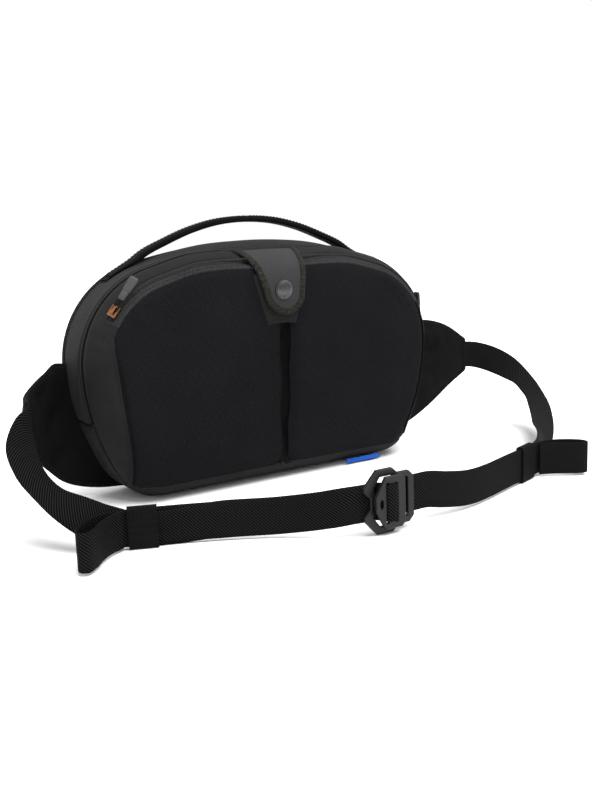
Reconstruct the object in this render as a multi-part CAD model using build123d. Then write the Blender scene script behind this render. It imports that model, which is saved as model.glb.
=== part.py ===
from build123d import *
import os
from math import atan2, cos, degrees, hypot, radians, sin, sqrt

# Hip pack. Millimetres. X runs across the bag, the front faces -Y, +Z is up.
# The origin is under the middle of the bag, on the surface that it stands on.

# Outline of the bag, seen from the front: a flat bottom joined by tangent arcs.
BAG_WIDTH = 310.0
BAG_HEIGHT = 187.0
CORNER_Z = 101.0          # height of the centres of the upper corners
CORNER_R = 75.5
SIDE_R = 158.5
FOOT_R = 35.0             # lower corners

# Places from back to front.
BACK_Y = 31.0             # back edge of the gusset
ZIP_Y = -6.6              # line of the main zip
BOXING_Y = -9.0           # where the front pocket starts
SHOULDER_Y = -23.0        # where the pocket starts to round off
FACE_Y = -31.5            # front face, inside of the mesh
SHOULDER_INSET = 5.0
FACE_INSET = 14.0
PAD_DEPTH = 7.0

FOLD_Z = 61.0             # level of the main zip's ends, where the front folds
FABRIC = 1.6              # thickness of a fabric wall
MESH = 1.4
GAP = 0.3                 # play between pieces of different bodies

WEBBING = 25.0            # width of the belt
STRAP = 1.5               # thickness of the belt webbing
LAYER = 0.85              # half the distance between two layers of webbing
BELT_Z = 14.0             # height of the middle of the belt where it runs level

CORNER_X = BAG_WIDTH / 2 - CORNER_R
_rise = BAG_HEIGHT - CORNER_Z
TOP_R = (CORNER_X**2 + _rise**2 - CORNER_R**2) / (2 * (_rise - CORNER_R))
TOP_Z = BAG_HEIGHT - TOP_R
SIDE_X = BAG_WIDTH / 2 - SIDE_R
FOOT_X = SIDE_X + sqrt((SIDE_R - FOOT_R) ** 2 - (CORNER_Z - FOOT_R) ** 2)
TOP_ANGLE = degrees(atan2(CORNER_Z - TOP_Z, CORNER_X))
FOOT_ANGLE = degrees(atan2(CORNER_Z - FOOT_R, FOOT_X - SIDE_X))


# ---------------------------------------------------------------- outline and walls

def top_arcs(inset):
    """The arcs of the outline above the corner centres, from right to left."""
    radius = CORNER_R - inset
    return [
        CenterArc((CORNER_X, CORNER_Z), radius, 0, TOP_ANGLE),
        CenterArc((0, TOP_Z), TOP_R - inset, TOP_ANGLE, 180 - 2 * TOP_ANGLE),
        CenterArc((-CORNER_X, CORNER_Z), radius, 180 - TOP_ANGLE, TOP_ANGLE),
    ]


def outline(inset):
    """The bag's outline moved inwards by inset, as a face in the XZ plane."""
    side, foot = SIDE_R - inset, FOOT_R - inset
    arcs = top_arcs(inset) + [
        CenterArc((-SIDE_X, CORNER_Z), side, 180, FOOT_ANGLE),
        CenterArc((-FOOT_X, FOOT_R), foot, 180 + FOOT_ANGLE, 90 - FOOT_ANGLE),
        Line((-FOOT_X, inset), (FOOT_X, inset)),
        CenterArc((FOOT_X, FOOT_R), foot, 270, 90 - FOOT_ANGLE),
        CenterArc((SIDE_X, CORNER_Z), side, -FOOT_ANGLE, FOOT_ANGLE),
    ]
    return Plane.XZ * make_face(Curve() + arcs)


def slab(inset, y_back, y_front):
    """The outline as a plate between two depths."""
    return Pos(0, y_back, 0) * extrude(outline(inset), y_back - y_front)


def ring(inset, thickness, y_back, y_front):
    """A wall that follows the outline, thickness inwards."""
    return slab(inset, y_back, y_front) - slab(inset + thickness, y_back, y_front)


def taper(inset_back, y_back, inset_front, y_front):
    """A plate whose outline changes its inset from back to front."""
    return loft([Pos(0, y_back, 0) * outline(inset_back), Pos(0, y_front, 0) * outline(inset_front)], ruled=True)


def tapered_wall(inset_back, y_back, inset_front, y_front, thickness):
    outer = taper(inset_back, y_back, inset_front, y_front)
    return outer - taper(inset_back + thickness, y_back, inset_front + thickness, y_front)


def zone(z_low, z_high, x_low=-400, x_high=400):
    """A block that cuts a wall to a range of heights."""
    return Pos((x_low + x_high) / 2, 0, (z_low + z_high) / 2) * Box(x_high - x_low, 400, z_high - z_low)


ABOVE = zone(FOLD_Z + GAP / 2, 400)
BELOW = zone(-50, FOLD_Z - GAP / 2)
OVER_FLOOR = zone(0, 400)


def top_tube(inset, y, radius, end_drop):
    """A round cord along the outline's top arcs, carried end_drop down the sides."""
    arcs = top_arcs(inset)
    span = degrees(end_drop / (SIDE_R - inset))
    right = CenterArc((SIDE_X, CORNER_Z), SIDE_R - inset, -span, span)
    left = CenterArc((-SIDE_X, CORNER_Z), SIDE_R - inset, 180, span)
    parts = [right] + arcs + [left] if end_drop else arcs
    path = Pos(0, y, 0) * (Plane.XZ * (Curve() + parts))
    start = path.wires()[0] if hasattr(path, "wires") else path
    section = Plane(origin=start @ 0, z_dir=start % 0) * Circle(radius)
    return sweep(section, path=start)


def corner_plane(side, angle, inset, y, lean):
    """A plane on an upper corner: x along the outline, z out of the surface.
    side is 1 on the right and -1 on the left; angle is counted up from the horizontal;
    lean tips the normal from straight outwards (0) towards the front (90)."""
    radius = CORNER_R - inset
    out = Vector(side * cos(radians(angle)), 0, sin(radians(angle)))
    along = Vector(-side * sin(radians(angle)), 0, cos(radians(angle)))
    normal = out * cos(radians(lean)) + Vector(0, -1, 0) * sin(radians(lean))
    return Plane(origin=Vector(side * CORNER_X, y, CORNER_Z) + out * radius, x_dir=along, z_dir=normal)


# ---------------------------------------------------------------- straps

def strap(sections, thickness=STRAP, width=WEBBING):
    """A flat strap through a list of (middle point, width direction)."""
    middles = [Vector(*point) for point, _ in sections]
    faces = []
    for index, (_, across) in enumerate(sections):
        ahead = middles[min(index + 1, len(middles) - 1)]
        behind = middles[max(index - 1, 0)]
        run = (ahead - behind).normalized()
        across = Vector(*across)
        across = (across - run * across.dot(run)).normalized()
        plane = Plane(origin=middles[index], x_dir=across, z_dir=run)
        faces.append(plane * Rectangle(width, thickness))
    return loft(faces, ruled=True)


def upright(points):
    """Sections of a strap that stands on its edge."""
    return [((x, y, z), (0, 0, 1)) for x, y, z in points]


def beside(points, distance):
    """The same route moved sideways, to the left of its direction."""
    moved = []
    for index, (x, y, z) in enumerate(points):
        x1, y1, _ = points[min(index + 1, len(points) - 1)]
        x0, y0, _ = points[max(index - 1, 0)]
        length = hypot(x1 - x0, y1 - y0)
        moved.append((x - (y1 - y0) / length * distance, y + (x1 - x0) / length * distance, z))
    return moved


def ribbon_wall(sections, thickness):
    """A panel through (x, y, low z, high z, direction x, direction y) sections."""
    faces = []
    for x, y, low, high, run_x, run_y in sections:
        plane = Plane(origin=(x, y, (low + high) / 2), x_dir=(0, 0, 1), z_dir=(run_x, run_y, 0))
        faces.append(plane * Rectangle(high - low, thickness))
    return loft(faces, ruled=True)


# ---------------------------------------------------------------- back and gusset

def back_panel():
    return slab(0.1, BACK_Y, BACK_Y - 2.0)


def back_pads():
    """Two foam pads and a lumbar pad behind the panel, with an air channel between them."""
    room = slab(16, BACK_Y + PAD_DEPTH, BACK_Y + 0.05)
    left = room & zone(52, 160, -200, -12)
    right = room & zone(52, 160, 12, 200)
    lumbar = room & zone(16, 42)
    return Compound(children=[*left.solids(), *right.solids(), *lumbar.solids()])


def rear_binding():
    return ring(-1.0, 0.95, BACK_Y, BACK_Y - 3.0) & OVER_FLOOR


def gusset_upper():
    return ring(0, FABRIC, BACK_Y - 2.05, ZIP_Y + 3.7) & ABOVE


def gusset_lower():
    return ring(0, FABRIC, BACK_Y - 2.05, BOXING_Y + 0.05) & BELOW


def main_zip_tape_rear():
    return ring(1.0, 0.6, ZIP_Y + 3.65, ZIP_Y + 0.2) & ABOVE


def main_zip_tape_front():
    return ring(1.0, 0.8, ZIP_Y - 0.2, BOXING_Y + 0.05) & ABOVE


def main_zip_coil():
    return top_tube(-0.15, ZIP_Y, 0.9, 34.0)


def slip_pocket():
    """Open-topped inner pocket, sewn to the back panel."""
    return slab(8, BACK_Y - 3.2, BACK_Y - 4.2) & zone(10, 112)


# ---------------------------------------------------------------- front pocket

ZIP_INSET_A, ZIP_INSET_B = 6.0, 9.4
POCKET_ZIP_END_Z = 141.0
CHAMFER = (FACE_INSET - SHOULDER_INSET, SHOULDER_Y - FACE_Y)
CHAMFER_LEAN = degrees(atan2(CHAMFER[0], CHAMFER[1]))


def chamfer_y(inset):
    """Depth of the rounded-off surface at an inset."""
    return SHOULDER_Y - (inset - SHOULDER_INSET) * CHAMFER[1] / CHAMFER[0]


def boxing():
    rear = tapered_wall(0.4, BOXING_Y, SHOULDER_INSET, SHOULDER_Y, FABRIC)
    front = tapered_wall(SHOULDER_INSET, SHOULDER_Y, FACE_INSET, FACE_Y, FABRIC)
    return rear + front


def zip_band():
    y_a, y_b = chamfer_y(ZIP_INSET_A), chamfer_y(ZIP_INSET_B)
    return tapered_wall(ZIP_INSET_A, y_a, ZIP_INSET_B, y_b, FABRIC) & zone(POCKET_ZIP_END_Z, 400)


def boxing_upper():
    band_y_a, band_y_b = chamfer_y(ZIP_INSET_A), chamfer_y(ZIP_INSET_B)
    slot = slab(-5, band_y_a, band_y_b) & zone(POCKET_ZIP_END_Z, 400)
    return (boxing() & ABOVE) - slot


def boxing_lower():
    return boxing() & BELOW


def pocket_zip_coil():
    """Coil of the pocket zip, on the outside of its tape."""
    inset = (ZIP_INSET_A + ZIP_INSET_B) / 2
    lift = 1.0
    out, ahead = cos(radians(CHAMFER_LEAN)), sin(radians(CHAMFER_LEAN))
    tube = top_tube(inset - lift * out, chamfer_y(inset) - lift * ahead, 0.85, 0)
    return tube & zone(POCKET_ZIP_END_Z + 0.5, 400)


def divider_upper():
    return slab(2.4, BOXING_Y, BOXING_Y - 1.2) & ABOVE


def divider_lower():
    return slab(2.4, BOXING_Y, BOXING_Y - 1.2) & BELOW


PLEAT_WIDTH = 10.0
PLEAT_X = 2.0


def face_plate():
    return slab(FACE_INSET - 0.2, FACE_Y - 0.05, FACE_Y - 0.05 - MESH)


def mesh_left():
    return face_plate() & ABOVE & zone(0, 400, -400, PLEAT_X - PLEAT_WIDTH / 2)


def mesh_right():
    return face_plate() & ABOVE & zone(0, 400, PLEAT_X + PLEAT_WIDTH / 2, 400)


def mesh_lower():
    halves = face_plate() & BELOW
    return halves - zone(0, 400, PLEAT_X - PLEAT_WIDTH / 2, PLEAT_X + PLEAT_WIDTH / 2)


def pleat_channel():
    """Inward fold between the two mesh panels."""
    half, depth, wall = PLEAT_WIDTH / 2 - 0.05, 5.0, 1.0
    front = FACE_Y - 0.05
    outer = Pos(PLEAT_X, front + depth / 2, 100) * Box(2 * half, depth, 200)
    inner = Pos(PLEAT_X, front + depth / 2 - wall, 100) * Box(2 * half - 2 * wall, depth, 200)
    return (outer - inner) & slab(FACE_INSET + FABRIC + 0.3, 0, -60)


def centre_pleat():
    return pleat_channel() & ABOVE


def pleat_lower():
    return pleat_channel() & BELOW


def label():
    """Plain folded label that hangs out of the bottom seam."""
    return Pos(78, -27.0, 4.2) * Box(34, 1.2, 6.5) - slab(4.6, -10, -60)


# ---------------------------------------------------------------- snap tab and its patch

TAB_TOP_WIDTH = 58.0
TAB_TIP_WIDTH = 36.0
TAB_TIP_Z = 132.0
TAB_ROOT_Y = -11.0
TAB_THICK = 2.0
TAB_LIFT = 1.0            # how far the tab lies off the pocket
TAB_BINDING = 5.0
SNAP_Z = 151.5
PATCH_FACE_Y = FACE_Y - 0.1 - MESH - 1.2


def tab_front(shrink):
    """The tab seen from the front, made smaller all round by shrink."""
    tip_r = TAB_TIP_WIDTH / 2 - shrink
    tip_z = TAB_TIP_Z + TAB_TIP_WIDTH / 2
    top = TAB_TOP_WIDTH / 2 - shrink
    sides = Polyline((-tip_r, tip_z), (-top, 200), (top, 200), (tip_r, tip_z))
    tip = CenterArc((0, tip_z), tip_r, 180, 180)
    return extrude(Plane.XZ * make_face(Curve() + [sides, tip]), 60)


def tab_side(inner, outer):
    """The tab seen from the side, between two distances off the surface it lies on."""
    run = [
        (TAB_ROOT_Y, 187.2), (-21.0, 185.0), (-25.5, 182.2), (-32.4, 174.8), (PATCH_FACE_Y, 167.5),
        (PATCH_FACE_Y, 120.0),
    ]
    normals = [(-0.22, 0.98), (-0.4, 0.92), (-0.66, 0.75), (-0.87, 0.5), (-1.0, 0.12), (-1.0, 0.0)]
    near = [(y + ny * inner, z + nz * inner) for (y, z), (ny, nz) in zip(run, normals)]
    far = [(y + ny * outer, z + nz * outer) for (y, z), (ny, nz) in zip(run, normals)]
    face = make_face(Polyline(*near, *reversed(far), close=True))
    return extrude(Plane.YZ * face, 60, both=True)


def tab_core():
    return tab_side(TAB_LIFT, TAB_LIFT + TAB_THICK) & tab_front(TAB_BINDING)


def tab_binding():
    frame = tab_front(0) - tab_front(TAB_BINDING - 0.02)
    return tab_side(TAB_LIFT - 0.3, TAB_LIFT + 0.3 + TAB_THICK) & frame


def snap_patch():
    """Patch sewn on the pocket's face, under the tab; it carries the stud."""
    shape = Polyline((-24, 164), (24, 164), (13, 125.5), (-13, 125.5), close=True)
    plate = Pos(0, FACE_Y - 0.1 - MESH, 0) * extrude(Plane.XZ * make_face(shape), 1.2)
    return plate


def round_y(radius, y_back, y_front):
    """A disc whose axis runs from back to front."""
    return Pos(0, y_back, SNAP_Z) * extrude(Plane.XZ * Circle(radius), y_back - y_front)


TAB_FACE_Y = PATCH_FACE_Y - TAB_LIFT - TAB_THICK


def snap_cap():
    """Domed cap of the press stud, on the tab's face."""
    rim = round_y(7.2, TAB_FACE_Y - 0.02, TAB_FACE_Y - 1.4)
    dome = Pos(0, TAB_FACE_Y + 11.5, SNAP_Z) * Sphere(15.0) & round_y(6.4, TAB_FACE_Y - 0.5, TAB_FACE_Y - 6)
    return rim + dome


def snap_socket():
    """Ring behind the tab that snaps over the stud."""
    y_back, y_front = PATCH_FACE_Y - 0.25, PATCH_FACE_Y - TAB_LIFT + 0.02
    return round_y(4.6, y_back, y_front) - round_y(3.2, y_back, y_front)


def snap_stud():
    """Stud on the patch."""
    return round_y(2.6, PATCH_FACE_Y - 0.02, PATCH_FACE_Y - 0.7)


# ---------------------------------------------------------------- zip sliders

POCKET_SLIDER_ANGLE = 39.0
MAIN_SLIDER_ANGLE = 6.0
PULL_LENGTH = 19.0
LINK_LIFT = 3.65          # height of the wire link over the tape


def slider_body(plane):
    """Slider that rides over the coil: a top plate, two side walls and a bridge."""
    top = Pos(0, 0, 2.5) * Box(8.5, 6.4, 1.0)
    walls = [Pos(0, side * 2.6, 1.3) * Box(8.5, 1.2, 1.4) for side in (1, -1)]
    bridge = Pos(0.5, 0, 3.95) * (Box(5.6, 1.8, 2.0) - Pos(0, 0, -0.3) * Box(3.2, 3, 1.3))
    return plane * (top + walls[0] + walls[1] + bridge)


def pull_link(plane):
    """Wire link from the bridge to the grip."""
    arms = [Pos(4.95, side * 1.7, LINK_LIFT) * Box(8.9, 0.8, 0.8) for side in (1, -1)]
    ends = [Pos(x, 0, LINK_LIFT) * Box(0.8, 4.2, 0.8) for x in (0.9, 9.0)]
    return plane * (arms[0] + arms[1] + ends[0] + ends[1])


def pull_grip(plane):
    """Moulded grip, wider at its free end."""
    low = Pos(9.45, 0, LINK_LIFT + 0.2) * (Plane.YZ * RectangleRounded(4.6, 2.4, 1.0))
    high = Pos(9.45 + PULL_LENGTH, 0, LINK_LIFT + 0.2) * (Plane.YZ * RectangleRounded(7.2, 2.8, 1.2))
    return plane * loft([low, high])


def pocket_slider_plane():
    inset = (ZIP_INSET_A + ZIP_INSET_B) / 2
    return corner_plane(-1, POCKET_SLIDER_ANGLE, inset, chamfer_y(inset), CHAMFER_LEAN)


def main_slider_plane():
    return corner_plane(1, MAIN_SLIDER_ANGLE, 0.7, ZIP_Y, 0)


# ---------------------------------------------------------------- handle

HANDLE_REACH = 104.0
HANDLE_FOOT_Z = 175.6
HANDLE_TOP_Z = 206.5
HANDLE_Y = 21.0
HANDLE_WIDTH = 13.0
HANDLE_THICK = 5.0
HANDLE_SPLIT = 70.0       # the sewn-down ends reach in to here


def handle_arc():
    """The whole padded grab handle, a shallow arc over the top."""
    rise = HANDLE_TOP_Z - HANDLE_FOOT_Z
    radius = (HANDLE_REACH**2 + rise**2) / (2 * rise)
    half = degrees(atan2(HANDLE_REACH, radius - rise))
    centre = (0, HANDLE_TOP_Z - radius)
    outer = CenterArc(centre, radius + HANDLE_THICK / 2, 90 - half, 2 * half)
    inner = CenterArc(centre, radius - HANDLE_THICK / 2, 90 - half, 2 * half)
    ends = [Line(outer @ 0, inner @ 0), Line(outer @ 1, inner @ 1)]
    face = Plane.XZ * make_face(Curve() + [outer, inner] + ends)
    return Pos(0, HANDLE_Y + HANDLE_WIDTH / 2, 0) * extrude(face, HANDLE_WIDTH)


def handle():
    """The part of the handle that swings."""
    return handle_arc() & zone(100, 300, -HANDLE_SPLIT + GAP / 2, HANDLE_SPLIT - GAP / 2)


def handle_ends():
    """The ends of the handle, which stay with the bag."""
    arc = handle_arc()
    left = arc & zone(100, 300, -200, -HANDLE_SPLIT - GAP / 2)
    right = arc & zone(100, 300, HANDLE_SPLIT + GAP / 2, 200)
    return Compound(children=[*left.solids(), *right.solids()])


def handle_anchors():
    """Patches on the gusset that the handle's ends are sewn to."""
    band = ring(-1.0, 0.95, HANDLE_Y + HANDLE_WIDTH / 2 - 1, HANDLE_Y - HANDLE_WIDTH / 2 + 1)
    left = band & zone(120, 300, -118, -106.8)
    right = band & zone(120, 300, 106.8, 118)
    return Compound(children=[*left.solids(), *right.solids()])


# ---------------------------------------------------------------- hip wings

WING_THICK = 4.0


def wing_right():
    run = [(128, 26, 6, 101), (176, 27, 17, 107), (200, 28.5, 29, 105), (221, 29.5, 42, 98), (243, 30, 54, 84)]
    return ribbon_wall([(*place, 1, 0) for place in run], WING_THICK) - slab(-1.05, 60, -60)


def wing_left():
    """The same wing, swept forward because the belt lies in front of the bag."""
    run = [
        (-128, 26, 4, 101, -1, 0),
        (-160, 26, 13, 104, -1, -0.1),
        (-173, 23, 25, 98, -0.9, -0.42),
        (-187, 11, 40, 90, -0.6, -0.8),
        (-195, -6, 50, 87.5, -0.35, -0.94),
        (-199, -24, 59, 87, -0.1, -1),
    ]
    return ribbon_wall(run, WING_THICK) - slab(-1.05, 60, -60)


# ---------------------------------------------------------------- buckle

BUCKLE_X = -34.0          # left edge of the ring plate
BUCKLE_Z = 21.5           # half its height
RING_BACK_Y, RING_FRONT_Y = -182.5, -185.5
TOGGLE_BACK_Y, TOGGLE_FRONT_Y = -187.6, -190.2
RING_LENGTH = 40.0


def mirrored(points):
    """Upper half of a plate's outline, closed by its mirror image below."""
    upper = [(BUCKLE_X + x, BUCKLE_Z + z) for x, z in points]
    lower = [(x, 2 * BUCKLE_Z - z) for x, z in reversed(upper)]
    return make_face(Polyline(*upper, *lower, close=True))


def plate(face, y_back, y_front):
    return Pos(0, y_back, 0) * extrude(Plane.XZ * face, y_back - y_front)


def slot(x_low, x_high, height):
    middle = BUCKLE_X + (x_low + x_high) / 2
    return Pos(middle, BUCKLE_Z) * RectangleRounded(x_high - x_low, height, 0.9)


def buckle_ring():
    outer = mirrored([(5, 3.5), (0, 8.5), (0, 11), (10, 21.5), (22.5, 21.5), (27, 17.5), (36, 17.5), (40, 13.5)])
    opening = mirrored([(9, 4.5), (7, 9.5), (12.5, 16.7), (21, 16.7), (26.6, 14)])
    body = plate(outer - opening - slot(29.0, 35.0, 27.4), RING_BACK_Y, RING_FRONT_Y)
    faces = body.faces().filter_by(Axis.Y)
    return chamfer(faces.edges(), 0.4)


def buckle_toggle():
    outer = mirrored([(6, 5), (13.5, 17.5), (26.5, 17.5), (29.5, 14.5)])
    eye = Pos(BUCKLE_X + 10.2, BUCKLE_Z) * Ellipse(1.5, 3.3)
    face = outer - slot(13.6, 16.2, 27.4) - slot(20.8, 23.6, 27.4) - eye
    body = plate(face, TOGGLE_BACK_Y, TOGGLE_FRONT_Y)
    rim = body.faces().filter_by(Axis.Y).wires().filter_by(lambda wire: wire.length > 80)
    return chamfer(rim.edges(), 0.4)


# ---------------------------------------------------------------- belt

# Middle line of the two layers of the belt, from the left keeper to the buckle and on to the right one.
LEFT_RUN = [(-168, -108, 14), (-104, -133, 14), (-74, -151, 15), (-54, -168.5, 18.5), (-40, -179.4, 21.5)]
RIGHT_RUN = [(152, -150, 14), (86, -171.5, 14), (58, -178.4, 15), (36, -180.6, 18.5), (20, -181.0, 21.5)]


def in_buckle(points):
    return [(BUCKLE_X + x, y, BUCKLE_Z) for x, y in points]


LEFT_LAYER_BACK = beside(LEFT_RUN, LAYER) + in_buckle([(2, -180.0), (9.2, -180.05)])
LEFT_LAYER_FRONT = beside(LEFT_RUN, -LAYER) + in_buckle([(2, -181.65), (9.2, -181.7)])

# From the wing down to the keeper the webbing turns over: (middle point, width direction).
LEFT_DROP = [
    ((-199.2, -24.9, 73.5), (0, 0, -1)),
    ((-199.7, -29.5, 73), (0.1, 0, -1)),
    ((-205, -36, 69.5), (0.45, 0.1, -0.85)),
    ((-210, -43, 60), (0.9, 0.3, -0.35)),
    ((-209, -55, 46.5), (0.9, 0.4, -0.15)),
    ((-202, -72, 34), (0.85, 0.5, 0.05)),
    ((-192, -88, 25.5), (0.75, 0.35, 0.5)),
    ((-180.5, -100.5, 18.5), (0.4, 0.2, 0.9)),
]
RIGHT_DROP = [
    ((243.4, 30.0, 69), (0, 0, -1)),
    ((250, 30.0, 68.5), (-0.05, 0, -1)),
    ((264, 25, 65), (-0.3, 0.05, -0.95)),
    ((277, 12, 57), (-0.75, 0.2, -0.6)),
    ((283, -7, 45), (-0.93, 0.3, 0.0)),
    ((275, -33, 32), (-0.85, 0.4, 0.3)),
    ((252, -63, 23), (-0.75, 0.45, 0.45)),
    ((221, -94, 17.5), (-0.55, 0.45, 0.7)),
    ((186, -126, 14.5), (-0.15, 0.15, 0.97)),
]


def turning(drop, run):
    """Sections from a wing end to the keeper, then on along the belt."""
    return drop + upright(run)


def webbing_left():
    """Main run of the left webbing, from the wing to the buckle."""
    return strap(turning(LEFT_DROP, LEFT_LAYER_BACK))


def webbing_right():
    """Main run of the right webbing; it wraps the ring's middle bar and comes back in front."""
    back = beside(RIGHT_RUN, -LAYER)
    wrap = [
        (45, -179.95), (31, -179.85), (27.4, -180.4), (25.9, -181.3), (25.4, -182.7), (25.4, -185.3),
        (25.9, -186.35), (27.2, -186.65), (28.7, -186.6), (30.0, -185.9), (31.8, -184.0), (33.3, -182.3),
        (35.0, -181.6), (41, -181.55),
    ]
    back[-1] = (BUCKLE_X + 54, -180.0, BUCKLE_Z)
    return strap(turning(RIGHT_DROP, back) + upright(in_buckle(wrap)))


def tail_right():
    """Free tail of the right webbing, in front of the main run, ending in a sewn pull loop."""
    front = list(reversed(beside(RIGHT_RUN, LAYER)))
    front[0] = (BUCKLE_X + 54, -181.65, BUCKLE_Z)
    start = in_buckle([(41.2, -181.55)])
    loop = [(162, -148.6), (174, -151), (184, -158), (189.5, -166), (189, -170.5), (184.5, -170.5), (176, -165),
            (166, -158), (156, -152.8)]
    return strap(upright(start + front + [(x, y, BELT_Z) for x, y in loop]))


def tail_left():
    """Free tail of the left webbing, in front of the main run, ending in a sewn pull loop."""
    front = list(reversed(LEFT_LAYER_FRONT))
    loop = [(-178, -106.6), (-189, -110.4), (-198, -119.4), (-204, -129.4), (-205, -135.9), (-201.5, -137.9),
            (-195, -133.4), (-187, -123.4), (-177, -114.4), (-169, -110.3)]
    return strap(upright(front + [(x, y, BELT_Z) for x, y in loop]))


def toggle_loop():
    """End of the left webbing, looped round the toggle's bar."""
    route = [
        (9.6, -180.05), (11.2, -180.4), (13.2, -181.9), (15.8, -184.3), (18.2, -185.9), (20.4, -186.45),
        (21.7, -187.1), (22.2, -188.3), (22.2, -190.0), (21.6, -191.0), (20.4, -191.3), (16.6, -191.3),
        (15.3, -191.0), (14.9, -189.9), (14.7, -188.0), (13.7, -185.9), (12.0, -183.6), (10.8, -182.2), (9.6, -181.75),
    ]
    return strap(upright(in_buckle(route)))


KEEPER_LENGTH = 19.0
KEEPER_WALL = 1.2
KEEPER_AT = 13.0          # from the outer end of the straight run to the keeper's middle


def keeper(run):
    """Elastic band round both layers, on the straight run of the belt."""
    (x0, y0, _), (x1, y1, _) = run[0], run[1]
    length = hypot(x1 - x0, y1 - y0)
    along = Vector(x1 - x0, y1 - y0, 0) / length
    origin = Vector(x0, y0, BELT_Z) + along * KEEPER_AT
    plane = Plane(origin=origin, x_dir=along, z_dir=(0, 0, 1))
    inner = Box(KEEPER_LENGTH + 2, 2 * LAYER + STRAP + 1.0, WEBBING + 0.6)
    outer = Box(KEEPER_LENGTH, 2 * LAYER + STRAP + 1.0 + 2 * KEEPER_WALL, WEBBING + 0.6 + 2 * KEEPER_WALL)
    return plane * (outer - inner)


# ---------------------------------------------------------------- write the nodes

NODES = {
    "back_panel": back_panel,
    "back_pads": back_pads,
    "rear_binding": rear_binding,
    "gusset_upper": gusset_upper,
    "gusset_lower": gusset_lower,
    "main_zip_tape_rear": main_zip_tape_rear,
    "main_zip_tape_front": main_zip_tape_front,
    "main_zip_coil": main_zip_coil,
    "slip_pocket": slip_pocket,
    "boxing_upper": boxing_upper,
    "boxing_lower": boxing_lower,
    "pocket_zip_tape": zip_band,
    "pocket_zip_coil": pocket_zip_coil,
    "divider_upper": divider_upper,
    "divider_lower": divider_lower,
    "mesh_left": mesh_left,
    "mesh_right": mesh_right,
    "mesh_lower": mesh_lower,
    "centre_pleat": centre_pleat,
    "pleat_lower": pleat_lower,
    "label": label,
    "tab_core": tab_core,
    "tab_binding": tab_binding,
    "snap_cap": snap_cap,
    "snap_socket": snap_socket,
    "snap_patch": snap_patch,
    "snap_stud": snap_stud,
    "pocket_slider": lambda: slider_body(pocket_slider_plane()),
    "pocket_pull_link": lambda: pull_link(pocket_slider_plane()),
    "pocket_pull_grip": lambda: pull_grip(pocket_slider_plane()),
    "main_slider": lambda: slider_body(main_slider_plane()),
    "main_pull_link": lambda: pull_link(main_slider_plane()),
    "main_pull_grip": lambda: pull_grip(main_slider_plane()),
    "handle": handle,
    "handle_ends": handle_ends,
    "handle_anchors": handle_anchors,
    "wing_left": wing_left,
    "wing_right": wing_right,
    "webbing_left": webbing_left,
    "webbing_right": webbing_right,
    "tail_left": tail_left,
    "tail_right": tail_right,
    "toggle_loop": toggle_loop,
    "buckle_ring": buckle_ring,
    "buckle_toggle": buckle_toggle,
    "keeper_left": lambda: keeper(LEFT_RUN),
    "keeper_right": lambda: keeper(RIGHT_RUN),
}


def main():
    os.makedirs("parts", exist_ok=True)
    for node, make in NODES.items():
        export_step(make(), f"parts/{node}.step")


main()
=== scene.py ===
import math

import bpy
import numpy as np
from mathutils import Matrix, Vector


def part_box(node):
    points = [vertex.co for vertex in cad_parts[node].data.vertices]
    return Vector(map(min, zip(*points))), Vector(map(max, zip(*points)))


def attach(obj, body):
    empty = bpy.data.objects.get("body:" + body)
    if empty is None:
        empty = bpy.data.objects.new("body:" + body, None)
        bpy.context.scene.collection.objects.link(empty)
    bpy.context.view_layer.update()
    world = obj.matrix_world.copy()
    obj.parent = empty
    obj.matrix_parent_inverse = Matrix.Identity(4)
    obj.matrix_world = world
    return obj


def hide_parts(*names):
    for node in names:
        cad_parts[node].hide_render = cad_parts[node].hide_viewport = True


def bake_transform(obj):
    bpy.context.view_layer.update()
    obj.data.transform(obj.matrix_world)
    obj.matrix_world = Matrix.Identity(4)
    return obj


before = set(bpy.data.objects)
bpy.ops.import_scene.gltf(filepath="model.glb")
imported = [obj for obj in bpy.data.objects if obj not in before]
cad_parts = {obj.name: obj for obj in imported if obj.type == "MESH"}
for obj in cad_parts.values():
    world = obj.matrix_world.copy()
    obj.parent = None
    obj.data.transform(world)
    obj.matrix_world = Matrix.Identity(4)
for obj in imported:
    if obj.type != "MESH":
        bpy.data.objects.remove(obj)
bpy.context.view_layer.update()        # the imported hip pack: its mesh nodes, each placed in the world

# Points are in millimetres until a mesh is made. X runs across the bag, the front faces -Y, +Z is up.
MM = 0.001

# ---------------------------------------------------------------- driving dimensions


def box_mm(node):
    low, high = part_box(node)
    return np.array(low) / MM, np.array(high) / MM


GUSSET_LOW, GUSSET_HIGH = box_mm("gusset_upper")
BAG_WIDTH = GUSSET_HIGH[0] - GUSSET_LOW[0]
BAG_HEIGHT = GUSSET_HIGH[2]
BACK_Y = box_mm("rear_binding")[1][1]
FOLD_Z = box_mm("gusset_lower")[1][2]
CORNER_Z, CORNER_R = 101.0, 75.5      # upper corners
SIDE_R, FOOT_R = 158.5, 35.0          # sides and lower corners

ZIP_Y = -6.6              # line of the main zip
SEAM_INSET = 14.0         # seam between the pocket's wall and its mesh face
SEAM_BOTTOM_Z = 13.0
ZIP_INSETS = (6.0, 9.4)   # the pocket zip's tape
POCKET_ZIP_END_Z = 141.0
FABRIC = 1.3
FOLD_SPAN = (0.052, 0.070)  # heights in metres of the span where the front folds

STEP = 3.0                # usual length of a mesh face

# ---------------------------------------------------------------- numbers


def unit(rows):
    """Rows scaled to length one."""
    return rows / np.maximum(np.linalg.norm(rows, axis=-1, keepdims=True), 1e-9)


def smooth(t):
    t = np.clip(t, 0, 1)
    return t * t * (3 - 2 * t)


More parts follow.
